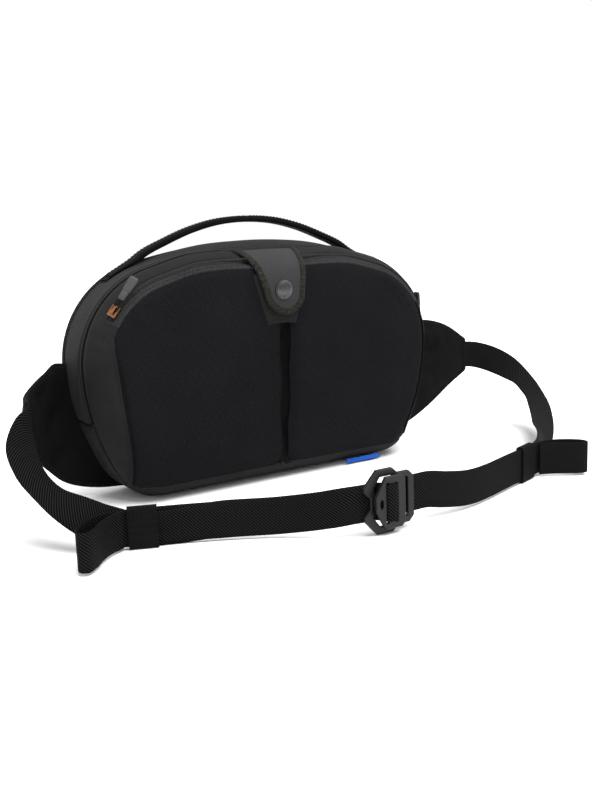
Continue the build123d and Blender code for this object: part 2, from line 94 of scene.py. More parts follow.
def hump(t, edge=0.2):
    """0 at both ends of 0 to 1, and 1 between, over a soft edge."""
    return smooth(t / edge) * smooth((1 - t) / edge)


def lengths(points):
    """Distance along a line of points."""
    return np.concatenate([[0], np.cumsum(np.linalg.norm(np.diff(points, axis=0), axis=1))])


def curve(controls, step=STEP):
    """A smooth curve through rows whose first three columns are a point, at an even step."""
    rows = np.array(controls, float)
    at = lengths(rows[:, :3])
    slope = np.gradient(rows, at, axis=0)
    t = np.linspace(0, at[-1], max(2, round(at[-1] / step) + 1))
    i = np.clip(np.searchsorted(at, t, side="right") - 1, 0, len(at) - 2)
    h = (at[i + 1] - at[i])[:, None]
    u = (t - at[i])[:, None] / h
    hermite = (2 * u**3 - 3 * u**2 + 1) * rows[i] + (u**3 - 2 * u**2 + u) * h * slope[i]
    return hermite + (3 * u**2 - 2 * u**3) * rows[i + 1] + (u**3 - u**2) * h * slope[i + 1]


def evenly(rows, step):
    """The same rows at an even step along their first three columns."""
    at = lengths(rows[:, :3])
    t = np.linspace(0, at[-1], max(2, round(at[-1] / step) + 1))
    return np.stack([np.interp(t, at, column) for column in rows.T], axis=1)


def ripple(points, size, seed):
    """Soft uneven waves from about -1 to 1, with humps size across."""
    draw = np.random.default_rng(seed)
    total = 0.0
    for _ in range(8):
        direction = unit(draw.normal(size=3)) * draw.uniform(0.6, 1.7)
        total = total + np.sin(points @ direction * math.pi / size + draw.uniform(0, math.tau))
    return total / 3.2


def crease(points, start, end, width, depth):
    """A groove from start to end, fading at both ends; a ridge where depth is negative."""
    start, end = np.array(start, float), np.array(end, float)
    line = end - start
    t = np.clip((points - start) @ line / (line @ line), 0, 1)
    away = np.linalg.norm(points - start - t[..., None] * line, axis=-1)
    return -depth * hump(t, 0.35) * np.exp(-((away / width) ** 2))


# ---------------------------------------------------------------- outline of the bag

CORNER_X = BAG_WIDTH / 2 - CORNER_R
RISE = BAG_HEIGHT - CORNER_Z
TOP_R = (CORNER_X**2 + RISE**2 - CORNER_R**2) / (2 * (RISE - CORNER_R))
TOP_Z = BAG_HEIGHT - TOP_R
SIDE_X = BAG_WIDTH / 2 - SIDE_R
FOOT_X = SIDE_X + math.sqrt((SIDE_R - FOOT_R) ** 2 - (CORNER_Z - FOOT_R) ** 2)
TOP_TURN = math.atan2(CORNER_Z - TOP_Z, CORNER_X)
FOOT_TURN = math.atan2(CORNER_Z - FOOT_R, FOOT_X - SIDE_X)

# Arcs of the right half from the bottom up: centre x, centre z, radius, first angle, last angle.
RIGHT_ARCS = [
    (FOOT_X, FOOT_R, FOOT_R, -math.pi / 2, -FOOT_TURN),
    (SIDE_X, CORNER_Z, SIDE_R, -FOOT_TURN, 0.0),
    (CORNER_X, CORNER_Z, CORNER_R, 0.0, TOP_TURN),
    (0.0, TOP_Z, TOP_R, TOP_TURN, math.pi / 2),
]


def outline_rows(step=STEP):
    """The outline from the middle of the bottom, counter-clockwise: x, z, outward x, outward z."""
    flat = max(2, round(FOOT_X / step))
    half = [(x, 0.0, 0.0, -1.0) for x in np.linspace(0, FOOT_X, flat, endpoint=False)]
    for x, z, radius, first, last in RIGHT_ARCS:
        count = max(3, round(radius * (last - first) / step))
        for a in np.linspace(first, last, count, endpoint=False):
            half.append((x + radius * math.cos(a), z + radius * math.sin(a), math.cos(a), math.sin(a)))
    half.append((0.0, BAG_HEIGHT, 0.0, 1.0))
    mirror = [(-x, z, -nx, nz) for x, z, nx, nz in reversed(half[1:])]
    return np.array(half + mirror[1:])


OUTLINE = outline_rows(1.0)
OUTLINE_AT = lengths(np.vstack([OUTLINE[:, :2], OUTLINE[:1, :2]]))
AROUND = OUTLINE_AT[-1]


def along_outline(s):
    """Rows x, z, outward x, outward z at distances s round the outline."""
    rows = np.vstack([OUTLINE, OUTLINE[:1]])
    return np.stack([np.interp(np.mod(s, AROUND), OUTLINE_AT, column) for column in rows.T], axis=-1)


def at_height(side, z):
    """Distance round the outline of the point at height z, on the right (1) or the left (-1)."""
    top = len(OUTLINE) // 2
    s = np.interp(z, OUTLINE[:top, 1], OUTLINE_AT[:top])
    return s if side > 0 else AROUND - s


def at_x(x):
    """Distance round the outline of the point of the top arc at x."""
    angle = math.acos(x / TOP_R)
    return AROUND / 2 + TOP_R * (angle - math.pi / 2)


def inset_point(s, inset, y):
    """Points inset from the outline at distances s."""
    x, z, nx, nz = np.moveaxis(along_outline(s), -1, 0)
    s, inset, y = np.broadcast_arrays(x, inset, y)
    return np.stack([x - inset * nx, y, z - inset * nz], axis=-1)


def inset_of(x, z):
    """How far inside the outline a point of the front is."""
    found = np.array(z, float)
    for side in (1, -1):
        for cx, cz, radius, first, last in RIGHT_ARCS:
            dx, dz = side * x - cx, z - cz
            angle = np.arctan2(dz, dx)
            inside = (angle >= first - 1e-6) & (angle <= last + 1e-6)
            found = np.where(inside, np.minimum(found, radius - np.hypot(dx, dz)), found)
    return found


def settled(points):
    """Points with the front and its zips let down a little in the middle of the top, as soft fabric sits."""
    x, y, z = np.moveaxis(points, -1, 0)
    inset = inset_of(x, z)
    drop = 1.3 * np.exp(-(((np.abs(x) - 68) / 17) ** 2)) - 2.6 * np.exp(-((x / 40) ** 2))
    drop = drop - 2.4 * np.exp(-((x / 45) ** 2)) * smooth(inset / 12)
    moved = points.copy()
    moved[..., 2] += drop * smooth((z - 120) / 45) * smooth((2 - y) / 8)
    return moved


# ---------------------------------------------------------------- meshes

class Part:
    """Points, faces, a (u, v) in centimetres for each corner of each face, and a look for each face."""

    def __init__(self, points, faces, uvs, look):
        self.points = np.asarray(points, float).reshape(-1, 3)
        self.faces = faces
        self.uvs = uvs
        self.look = look if isinstance(look, list) else [look] * len(faces)


MATERIALS = {}


def make(name, parts, replaces=(), body=None, fold=None, sharp=50):
    """Joins parts into one piece, riding on a body, or fixed in place where fold is given."""
    points, faces, uvs, looks, first = [], [], [], [], 0
    for part in parts:
        points.append(part.points)
        faces.extend([[int(v) + first for v in face] for face in part.faces])
        uvs.extend(part.uvs)
        looks.extend(part.look)
        first += len(part.points)
    mesh = bpy.data.meshes.new(name)
    mesh.from_pydata((np.concatenate(points) * MM).tolist(), [], faces)
    layer = mesh.uv_layers.new(name="weave")
    layer.data.foreach_set("uv", np.concatenate([np.asarray(uv, float).ravel() for uv in uvs]))
    used = sorted(set(looks))
    for look in used:
        mesh.materials.append(MATERIALS[look])
    mesh.polygons.foreach_set("material_index", [used.index(look) for look in looks])
    mesh.shade_smooth()
    mesh.set_sharp_from_angle(angle=math.radians(sharp))
    obj = bpy.data.objects.new(name, mesh)
    bpy.context.scene.collection.objects.link(obj)
    if fold:
        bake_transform(obj)
    else:
        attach(obj, body)
    if replaces:
        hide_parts(*replaces)
    return obj


def front_fold():
    """The front's fold: its two bodies and the ends of its span in metres."""
    return ("bag", "front_panel", (0, 0, FOLD_SPAN[0]), (0, 0, FOLD_SPAN[1]))


def grid_normals(grid, closed):
    ahead = np.roll(grid, -1, 0) - np.roll(grid, 1, 0) if closed else np.gradient(grid, axis=0)
    return unit(np.cross(ahead, np.gradient(grid, axis=1)))


def cloth(grid, thickness, look, closed=False, flip=False, looks=None):
    """A shell of fabric whose outer face is a grid of points; closed joins its last row to its first."""
    grid = np.asarray(grid, float)
    n, m = grid.shape[:2]
    normal = grid_normals(grid, closed) * (-1 if flip else 1)
    points = np.concatenate([grid.reshape(-1, 3), (grid - normal * thickness).reshape(-1, 3)])
    rows = np.vstack([grid, grid[:1]]) if closed else grid
    u = np.concatenate([[0], np.cumsum(np.linalg.norm(np.diff(rows, axis=0), axis=2).mean(1))]) / 10
    spans = np.linalg.norm(np.diff(grid, axis=1), axis=2)
    v = np.concatenate([np.zeros((n, 1)), np.cumsum(spans, 1)], 1) / 10
    faces, uvs, face_looks = [], [], []

    def add(ids, uv, turn, row=0, column=0):
        order = ids[::-1] if turn else ids
        faces.append(order)
        uvs.append(uv[::-1] if turn else uv)
        face_looks.append(looks(row, column) if looks else look)

    for i in range(n if closed else n - 1):
        k = (i + 1) % n
        for j in range(m - 1):
            ids = [i * m + j, k * m + j, k * m + j + 1, i * m + j + 1]
            uv = [(u[i], v[i, j]), (u[i + 1], v[k, j]), (u[i + 1], v[k, j + 1]), (u[i], v[i, j + 1])]
            add(ids, uv, flip, i, j)
            add([a + n * m for a in ids], uv, not flip, i, j)
        for j, turn in ((0, flip), (m - 1, not flip)):
            ids = [i * m + j, i * m + j + n * m, k * m + j + n * m, k * m + j]
            edge = v[i, j] + thickness / 10
            uv = [(u[i], v[i, j]), (u[i], edge), (u[i + 1], edge), (u[i + 1], v[k, j])]
            add(ids, uv, turn, i, min(j, m - 2))
    if not closed:
        for i, turn in ((0, not flip), (n - 1, flip)):
            for j in range(m - 1):
                ids = [i * m + j, i * m + j + n * m, i * m + j + 1 + n * m, i * m + j + 1]
                edge = u[i] + thickness / 10
                uv = [(u[i], v[i, j]), (edge, v[i, j]), (edge, v[i, j + 1]), (u[i], v[i, j + 1])]
                add(ids, uv, turn, min(i, n - 2), j)
    return Part(points, faces, uvs, face_looks)


def tube(middle, across, out, section, look, closed=False):
    """A solid along a line: section is a closed loop of (across, out) points, or one such loop a row."""
    section = np.broadcast_to(section, (len(middle),) + np.shape(section)[-2:])
    grid = (middle[:, None] + section[..., :1] * across[:, None] + section[..., 1:] * out[:, None])
    n, m = grid.shape[:2]
    rows = np.vstack([middle, middle[:1]]) if closed else middle
    u = lengths(rows) / 10
    v = lengths(np.vstack([section[0], section[0][:1]])) / 10
    faces, uvs = [], []
    for i in range(n if closed else n - 1):
        k = (i + 1) % n
        for j in range(m):
            l = (j + 1) % m
            faces.append([i * m + j, k * m + j, k * m + l, i * m + l])
            uvs.append([(u[i], v[j]), (u[i + 1], v[j]), (u[i + 1], v[j + 1]), (u[i], v[j + 1])])
    if not closed:
        for i, order in ((0, range(m)), (n - 1, range(m - 1, -1, -1))):
            faces.append([i * m + j for j in order])
            uvs.append([(u[i] + section[i][j][0] / 10, section[i][j][1] / 10) for j in order])
    return Part(grid, faces, uvs, look)


def round_section(radius, sides=8):
    angles = np.linspace(0, math.tau, sides, endpoint=False)
    return np.stack([radius * np.cos(angles), -radius * np.sin(angles)], axis=1)


def flat_section(width, thickness, cells=10, round_off=0.45):
    """A strap's section: flat faces with rounded edges."""
    half, t = width / 2, thickness / 2
    a = np.linspace(-half + t, half - t, cells)
    edge = [(half - t * (1 - round_off), -t * 0.75), (half, 0), (half - t * (1 - round_off), t * 0.75)]
    front = [(x, -t) for x in a]
    back = [(x, t) for x in a[::-1]]
    loop = front + edge + back + [(-x, -y) for x, y in edge]
    return np.array(loop)[::-1]


def frames(middle, out):
    """Across directions for a line whose outward directions are out, and those made square to it."""
    run = unit(np.gradient(middle, axis=0))
    out = unit(out - run * np.sum(out * run, axis=1, keepdims=True))
    return np.cross(out, run), out


def piping(line, out, radius, look, sides=8, closed=False):
    across, out = frames(line, out)
    return tube(line, across, out, round_section(radius, sides), look, closed)


def ribbon(controls, width, thickness, look, step=2.5, cells=10, wave=0.0, seed=1):
    """A flat strap through rows of a point and its width direction."""
    rows = curve(controls, step)
    middle = rows[:, :3]
    run = unit(np.gradient(middle, axis=0))
    across = unit(rows[:, 3:6] - run * np.sum(rows[:, 3:6] * run, axis=1, keepdims=True))
    out = np.cross(run, across)
    middle = middle + out * (wave * ripple(middle, 26, seed))[:, None]
    return tube(middle, across, out, flat_section(width, thickness, cells), look)


def cell_uv(i, j, cells):
    """The (u, v) corners of one cell of a plain grid with so many cells to the centimetre."""
    return [(p / cells, q / cells) for p, q in ((i, j), (i + 1, j), (i + 1, j + 1), (i, j + 1))]


def threads(starts, ends, out, radius, look, sides=6):
    """Short round threads from starts to ends, bowed outwards, with drawn-in tips."""
    t = np.array([0.0, 0.14, 0.5, 0.86, 1.0])
    size = radius * np.array([0.25, 0.85, 1.0, 0.85, 0.25])
    rise = radius * np.array([-0.9, 0.0, 0.35, 0.0, -0.9])
    run = unit(ends - starts)
    side = unit(np.cross(run, out))
    up = np.cross(side, run)
    middle = starts[:, None] + t[:, None] * (ends - starts)[:, None] + rise[:, None] * up[:, None]
    angles = np.linspace(0, math.tau, sides, endpoint=False)
    ring = np.cos(angles)[:, None] * side[:, None, None] + np.sin(angles)[:, None] * up[:, None, None]
    points = middle[:, :, None] + size[:, None, None] * ring
    faces, uvs = [], []
    for k in range(len(starts)):
        first = k * 5 * sides
        for i in range(4):
            for j in range(sides):
                l = (j + 1) % sides
                a, b = first + i * sides, first + (i + 1) * sides
                faces.append([a + j, b + j, b + l, a + l])
                uvs.append(cell_uv(i, j, 20))
        faces.append([first + j for j in range(sides)])
        faces.append([first + 4 * sides + j for j in range(sides - 1, -1, -1)])
        uvs.extend([[(0, j / 20) for j in range(sides)]] * 2)
    return Part(points, faces, uvs, look)


def stitches(line, out, look="thread", pitch=3.4, length=2.5, radius=0.3):
    """A row of stitches along a line on a surface."""
    rows = evenly(np.hstack([line, out]), pitch)
    middle, out = rows[1:-1, :3], unit(rows[1:-1, 3:])
    run = unit(np.gradient(middle, axis=0))
    return threads(middle - run * length / 2, middle + run * length / 2, out, radius, look)


def coil(line, out, look="zip_coil", pitch=1.35, width=3.0, radius=0.42):
    """Turns of a zip's coil, across a line."""
    rows = evenly(np.hstack([line, out]), pitch)
    middle, out = rows[1:-1, :3], rows[1:-1, 3:]
    across, out = frames(middle, out)
    return threads(middle - across * width / 2, middle + across * width / 2, out, radius, look)


def patch(bottom, right, top, left, rows, columns):
    """A Coons patch between four lines of 2-D points, as a grid of rows x columns."""
    def sample(line, count):
        at = lengths(line)
        t = np.linspace(0, at[-1], count)
        return np.stack([np.interp(t, at, column) for column in np.asarray(line).T], axis=-1)

    b, t = sample(bottom, columns), sample(top, columns)
    l, r = sample(left, rows), sample(right, rows)
    u, v = np.linspace(0, 1, columns)[None, :, None], np.linspace(0, 1, rows)[:, None, None]
    ruled = (1 - v) * b[None] + v * t[None] + (1 - u) * l[:, None] + u * r[:, None]
    corners = (1 - v) * ((1 - u) * b[0] + u * b[-1]) + v * ((1 - u) * t[0] + u * t[-1])
    return ruled - corners


# ---------------------------------------------------------------- materials

class Nodes:
    """A short way to build one material's node tree."""

    def __init__(self, name):
        self.material = bpy.data.materials.new(name)
        self.material.use_nodes = True
        self.tree = self.material.node_tree
        self.shader = self.tree.nodes["Principled BSDF"]

    def add(self, kind, **values):
        node = self.tree.nodes.new("ShaderNode" + kind)
        for key, value in values.items():
            setattr(node, key, value)
        return node

    def link(self, out, into):
        self.tree.links.new(out, into)
        return into

    def math(self, operation, a, b=0.0, c=0.0):
        node = self.add("Math", operation=operation)
        for socket, value in zip(node.inputs, (a, b, c)):
            if isinstance(value, (int, float)):
                socket.default_value = value
            else:
                self.link(value, socket)
        return node.outputs[0]

    def cloth_axes(self):
        """Distances along and across the fabric in centimetres."""
        split = self.add("SeparateXYZ")
        self.link(self.add("UVMap", uv_map="weave").outputs["UV"], split.inputs[0])
        return split.outputs[0], split.outputs[1]

    def wave(self, along, period_mm):
        return self.math("SINE", self.math("MULTIPLY", along, math.tau * 10 / period_mm))

    def noise(self, scale, detail=4.0, rough=0.55):
        """Noise in object space, scale humps to the metre."""
        node = self.add("TexNoise")
        node.inputs["Scale"].default_value = scale
        node.inputs["Detail"].default_value = detail
        node.inputs["Roughness"].default_value = rough
        self.link(self.add("TexCoord").outputs["Object"], node.inputs["Vector"])
        return node.outputs["Fac"]

    def between(self, factor, low, high, start=0.0, end=1.0):
        """A colour from low to high as factor goes from start to end."""
        ramp = self.add("ValToRGB")
        ramp.color_ramp.elements[0].position = start
        ramp.color_ramp.elements[1].position = end
        ramp.color_ramp.elements[0].color = (*low, 1)
        ramp.color_ramp.elements[1].color = (*high, 1)
        self.link(factor, ramp.inputs[0])
        return ramp.outputs[0]

    def number(self, factor, low, high, start=0.0, end=1.0):
        node = self.add("MapRange")
        for key, value in zip(("From Min", "From Max", "To Min", "To Max"), (start, end, low, high)):
            node.inputs[key].default_value = value
        self.link(factor, node.inputs[0])
        return node.outputs[0]

    def bump(self, height, distance_mm, strength=1.0, under=None):
        node = self.add("Bump")
        node.inputs["Distance"].default_value = distance_mm * MM
        node.inputs["Strength"].default_value = strength
        self.link(height, node.inputs["Height"])
        if under:
            self.link(under, node.inputs["Normal"])
        return node.outputs[0]

    def finish(self, colour, roughness, normal, **constants):
        self.link(colour, self.shader.inputs["Base Color"])
        self.link(roughness, self.shader.inputs["Roughness"])
        if normal:
            self.link(normal, self.shader.inputs["Normal"])
        for key, value in constants.items():
            self.shader.inputs[key.replace("_", " ")].default_value = value
        return self.material


def weave_height(n, kind, pitch):
    u, v = n.cloth_axes()
    if kind == "plain":
        return n.math("MULTIPLY", n.wave(u, pitch), n.wave(v, pitch))
    if kind == "twill":
        diagonal = n.wave(n.math("ADD", u, v), pitch)
        return n.math("ADD", diagonal, n.math("MULTIPLY", n.wave(u, pitch * 0.5), 0.35))
    if kind == "rib":
        return n.math("ADD", n.wave(u, pitch), n.math("MULTIPLY", n.wave(v, pitch * 0.7), 0.3))
    if kind == "lattice":
        dots = n.math("MULTIPLY", n.wave(u, pitch), n.wave(v, pitch * 0.72))
        lean = n.wave(n.math("ADD", v, n.math("MULTIPLY", u, 0.62)), pitch * 0.9)
        return n.math("ADD", dots, n.math("MULTIPLY", lean, 0.14))
    return n.math("MULTIPLY", n.math("SUBTRACT", n.noise(900.0, 3.0), 0.5), 4.0)


def fabric(name, low, high, kind, pitch, depth, rough=(0.62, 0.8), sheen=0.25, contrast=0.55, blotch=14.0):
    """A woven or felted fabric: thread colour from low in the gaps to high on the threads."""
    n = Nodes(name)
    height = weave_height(n, kind, pitch)
    fuzz = n.noise(650.0, 3.0, 0.7)
    blotches = n.noise(blotch, 3.0, 0.6)
    mixed = n.math("ADD", n.math("MULTIPLY", height, contrast * 0.5), n.math("MULTIPLY", blotches, 0.8))
    mixed = n.math("ADD", mixed, n.math("MULTIPLY", fuzz, 0.45))
    colour = n.between(mixed, low, high, 0.1, 1.15)
    roughness = n.number(n.math("ADD", blotches, n.math("MULTIPLY", fuzz, 0.5)), rough[0], rough[1], 0.4, 1.1)
    soft = n.bump(blotches, 0.6, 0.25)
    normal = n.bump(n.math("ADD", height, n.math("MULTIPLY", fuzz, 0.8)), depth, 1.0, soft)
    MATERIALS[name] = n.finish(
        colour, roughness, normal, Sheen_Weight=sheen, Sheen_Roughness=0.45, Specular_IOR_Level=0.03
    )


def moulded(name, low, high, rough=(0.38, 0.5), grain=1800.0, depth=0.05, metallic=0.0, wear=0.0):
    """Moulded plastic, rubber or metal with a fine grain; wear lightens its edges."""
    n = Nodes(name)
    fine, wide = n.noise(grain, 2.0), n.noise(60.0, 4.0)
    mixed = n.math("ADD", n.math("MULTIPLY", fine, 0.35), n.math("MULTIPLY", wide, 0.65))
    if wear:
        edge = n.number(n.add("NewGeometry").outputs["Pointiness"], 0.0, wear, 0.51, 0.6)
        mixed = n.math("ADD", mixed, edge)
    colour = n.between(mixed, low, high, 0.3, 0.9)
    roughness = n.number(wide, rough[0], rough[1], 0.3, 0.7)
    normal = n.bump(fine, depth, 0.6)
    MATERIALS[name] = n.finish(colour, roughness, normal, Metallic=metallic, Specular_IOR_Level=0.25)


def grey(value):
    return (value, value, value)


def make_materials():
    fabric("nylon", grey(0.0008), (0.0075, 0.007, 0.0072), "plain", 0.7, 0.05, sheen=0.004)
    # Painted light: a copy of the same nylon made lighter, standing for light falling from above on the upper
    # gusset.
    fabric("nylon_top", (0.006, 0.0056, 0.0059), (0.026, 0.0244, 0.0256), "plain", 0.7, 0.05, sheen=0.025)
    # Painted light: another copy of the same nylon made lighter, standing for light falling on the pocket
    # wall, lower gusset and snap patch.
    fabric("nylon_side", (0.004, 0.0037, 0.0039), (0.02, 0.0188, 0.0196), "plain", 0.7, 0.05, sheen=0.015)
    fabric("lining", (0.02, 0.02, 0.021), (0.05, 0.05, 0.052), "plain", 0.9, 0.05, sheen=0.05)
    fabric("mesh", (0.0002, 0.0002, 0.0004), (0.0125, 0.0125, 0.015),
           "lattice", 2.2, 0.3, sheen=0.0, contrast=2.4)
    fabric("spacer", grey(0.003), (0.03, 0.03, 0.031), "lattice", 4.2, 0.8, sheen=0.01, contrast=1.5)
    # Partly painted sheen: the zip tape's own colour, made lighter to stand for the sheen on the band along
    # the top.
    fabric("zip_tape", (0.002, 0.002, 0.0021), (0.036, 0.036, 0.037), "felt", 1.0, 0.12, sheen=0.01)
    fabric("binding", (0.001, 0.001, 0.0007), (0.032, 0.0305, 0.0255),
           "felt", 1.0, 0.25, sheen=0.005, contrast=1.2)
    fabric("tab_face", (0.02, 0.0197, 0.0207), (0.038, 0.0373, 0.0388),
           "plain", 0.6, 0.03, sheen=0.01, contrast=0.3)
    fabric("webbing", grey(0.0004), (0.0125, 0.012, 0.012), "twill", 2.2, 0.3, sheen=0.0, contrast=2.2)
    fabric("elastic", grey(0.0012), (0.008, 0.0078, 0.0078), "rib", 1.2, 0.08, sheen=0.0, contrast=0.4)
    fabric("handle_web", grey(0.001), (0.0095, 0.009, 0.0092), "rib", 1.4, 0.2, sheen=0.004, contrast=0.9)
    fabric("thread", (0.003, 0.003, 0.0028), (0.024, 0.0235, 0.022), "rib", 0.6, 0.05, sheen=0.0)
    fabric("label_blue", (0.004, 0.03, 0.2), (0.02, 0.12, 0.55), "rib", 0.8, 0.1, sheen=0.05, contrast=0.5)
    moulded("plastic", grey(0.002), (0.009, 0.009, 0.0094), wear=0.15)
    moulded("zip_coil", grey(0.003), (0.024, 0.024, 0.025), rough=(0.4, 0.5), depth=0.02)
    moulded("rubber", (0.025, 0.025, 0.026), (0.055, 0.055, 0.057), rough=(0.5, 0.62), depth=0.06)
    moulded("slider_metal", grey(0.003), (0.02, 0.019, 0.018), rough=(0.3, 0.45), metallic=1.0, wear=0.5)
    moulded("steel", (0.03, 0.03, 0.031), (0.14, 0.14, 0.147),
            rough=(0.25, 0.38), grain=900.0, metallic=1.0, wear=0.4)
    moulded("copper", (0.01, 0.006, 0.004), (0.3, 0.14, 0.07), rough=(0.22, 0.35), metallic=1.0, wear=0.5)


CAD_LOOKS = {
    "buckle_ring": "plastic", "buckle_toggle": "plastic", "snap_cap": "steel", "snap_socket": "steel",
    "snap_stud": "steel", "pocket_slider": "copper", "main_slider": "copper",
    "pocket_pull_link": "slider_metal", "main_pull_link": "slider_metal",
}


def dress_cad_nodes():
    for node, look in CAD_LOOKS.items():
        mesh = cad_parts[node].data
        mesh.materials.clear()
        mesh.materials.append(MATERIALS[look])


# ---------------------------------------------------------------- back and gusset

def swept(first, last, profile, columns):
    """A grid round the outline; profile(s) gives inset and y for each of the columns' places 0 to 1."""
    s = np.linspace(first, last, max(3, round((last - first) / STEP)) + 1)
    t = np.linspace(0, 1, columns)
    inset, y = profile(s[:, None], t[None, :])
    return inset_point(s[:, None], inset, y), s, t


def through(t, places):
    """Values at t on a soft line through (t, value) places."""
    at, values = np.array(places, float).T
    fine = np.linspace(0, 1, 81)
    line = np.interp(fine, at, values)
    kernel = np.array([1, 2, 3, 2, 1]) / 9
    line[2:-2] = np.convolve(line, kernel, "valid")
    return np.interp(t, fine, line)


SIDE_LOW, SIDE_UP = at_height(1, FOLD_Z), AROUND - at_height(1, FOLD_Z)
GUSSET_INSET = [(0, 1.4), (0.04, 0.3), (0.2, -0.3), (0.5, -0.5), (0.85, -0.1), (0.93, 0.1), (0.97, 0.9),
                (1, 3.0)]
GUSSET_DEPTH = [(0, 29.6), (0.06, 28.0), (0.9, -3.5), (0.96, -4.4), (1, -4.5)]
LOWER_DEPTH = [(0, 29.6), (0.06, 28.0), (0.92, -7.6), (0.97, -8.5), (1, -8.6)]


def on_floor(points, level=0.15):
    """Keeps fabric from going below the surface that the bag stands on."""
    low = points[..., 2] < level
    points[..., 2] = np.where(low, level + (points[..., 2] - level) * 0.05, points[..., 2])
    return points


def gusset_upper():
    def profile(s, t):
        return through(t, GUSSET_INSET) + 0 * s, through(t, GUSSET_DEPTH) + 0 * s

    grid, s, t = swept(SIDE_LOW - 1, SIDE_UP + 1, profile, 22)
    out = grid_normals(grid, False)
    wrinkle = 0.35 * ripple(grid * [1, 0.5, 1], 22, 4) * hump(t)[None, :]
    for side in (1, -1):
        low = np.array([side * 154, 8, 74.0])
        wrinkle = wrinkle + crease(grid, low, low + [0, -14, 34], 4, 0.8)
        wrinkle = wrinkle + crease(grid, low + [0, 10, -12], low + [0, -8, 10], 3, 0.6)
    sign = -1 if out[len(s) // 2, 11, 2] < 0 else 1
    middle = smooth((96 - np.abs(grid[..., 0])) / 30)
    crown = 2.2 * hump(t)[None, :] * middle * smooth((grid[..., 1] + 4) / 14)
    grid = settled(grid + out * sign * (wrinkle + crown * (grid[..., 2] > 120))[..., None])
    # The upper gusset takes the copy of the nylon painted lighter: painted light from above.
    parts = [cloth(grid, FABRIC, "nylon_top", flip=sign < 0)]
    return make("gusset_fabric_upper", parts, ["gusset_upper"], "bag")


def gusset_lower():
    def profile(s, t):
        return through(t, GUSSET_INSET) + 0 * s, through(t, LOWER_DEPTH) + 0 * s

    grid, s, t = swept(SIDE_UP - 1, AROUND + SIDE_LOW + 1, profile, 22)
    out = grid_normals(grid, False)
    sign = -1 if out[len(s) // 2, 11, 2] > 0 else 1
    wrinkle = 0.5 * ripple(grid * [1, 0.6, 1], 20, 9) * hump(t)[None, :]
    for side in (1, -1):
        for y, z, dy, dz in ((4, 44, 14, -26), (14, 30, -16, -14), (-2, 22, 12, -12)):
            start = np.array([side * (150 - (61 - z) * 0.35), y, z])
            wrinkle = wrinkle + crease(grid, start, start + [-side * abs(dz) * 0.5, dy, dz], 4.5, 1.3)
    ends = smooth(np.minimum(s - s[0], s[-1] - s) / 14)[:, None]
    grid = on_floor(grid + out * sign * (wrinkle * ends)[..., None])
    # The lower gusset takes the copy of the nylon painted lighter: painted light.
    parts = [cloth(grid, FABRIC, "nylon_side", flip=sign < 0)]
    return make("gusset_fabric_lower", parts, ["gusset_lower"], "bag")


def gusset_seams():
    """Rolled seams with stitching where the upper gusset meets the lower one."""
    parts = []
    for side in (1, -1):
        y = np.linspace(28, -7.6, 16)
        for lift, s_shift, kind in ((0.25, 0.0, "pipe"), (0.35, -3.0, "stitch")):
            s = at_height(side, FOLD_Z) + side * s_shift
            line = inset_point(np.full_like(y, s), -lift, y)
            out = np.tile([side, 0, 0.0], (len(y), 1))
            if kind == "pipe":
                parts.append(piping(line, out, 0.75, "nylon"))
            else:
                parts.append(stitches(line, out))
    return make("gusset_seams", parts, body="bag")


def rear_binding():
    """Bound edge round the back of the bag."""
    section = [(0.9, 27.4), (-1.0, 27.7), (-1.6, 28.8), (-1.5, 30.2), (-0.4, 31.2), (2.6, 31.3), (3.4, 31.0),
               (3.2, 30.2), (1.2, 29.9)]
    s = np.linspace(0, AROUND, round(AROUND / STEP), endpoint=False)
    rows = along_outline(s)
    lift = smooth(rows[:, 1] / 14)
    inset, y = np.array(section).T
    inset = np.where(inset[None, :] < 0.3, 0.3 + (inset[None, :] - 0.3) * lift[:, None], inset[None, :])
    middle = np.stack([rows[:, 0], np.zeros(len(s)), rows[:, 1]], axis=1)
    across = np.stack([-rows[:, 2], np.zeros(len(s)), -rows[:, 3]], axis=1)
    loops = np.stack([inset, np.broadcast_to(y, inset.shape)], axis=-1)[:, ::-1]
    back = np.tile([0, 1.0, 0], (len(s), 1))
    parts = [tube(middle, across, back, loops, "binding", closed=True)]
    line = middle + across * 2.3
    line[:, 1] = 31.35
    parts.append(stitches(np.vstack([line, line[:1]]), np.vstack([back, back[:1]])))
    return make("rear_binding_tape", parts, ["rear_binding"], "bag")


def plane_patch(inset, rows=44, columns=72):
    """A flat grid that fills the outline moved inwards, as x and z."""
    def line(first, last, count=60):
        return inset_point(np.linspace(first, last, count), inset, 0.0)[:, [0, 2]]

    foot, shoulder = at_height(1, 14.0), at_height(1, 160.0)
    bottom = line(AROUND - foot, AROUND + foot)
    right = line(foot, shoulder)
    top = line(shoulder, AROUND - shoulder)[::-1]
    left = line(AROUND - shoulder, AROUND - foot)[::-1]
    return patch(bottom, right, top, left, rows, columns)


def flat_sheet(flat, y):
    """Points of a grid of x and z at depths y."""
    return np.stack([flat[..., 0], np.broadcast_to(y, flat.shape[:2]), flat[..., 1]], axis=-1)


def back_panel():
    flat = plane_patch(1.0)
    depth = inset_of(flat[..., 0], flat[..., 1])
    grid = flat_sheet(flat, BACK_Y - 0.6 + 0.4 * smooth(depth / 12))
    grid[..., 1] += 0.25 * ripple(grid, 30, 12) * smooth(depth / 20)
    flip = grid_normals(grid, False)[20, 30, 1] < 0
    parts = [cloth(grid, 1.8, "nylon", flip=flip)]
    return make("back_panel_fabric", parts, ["back_panel"], "bag")


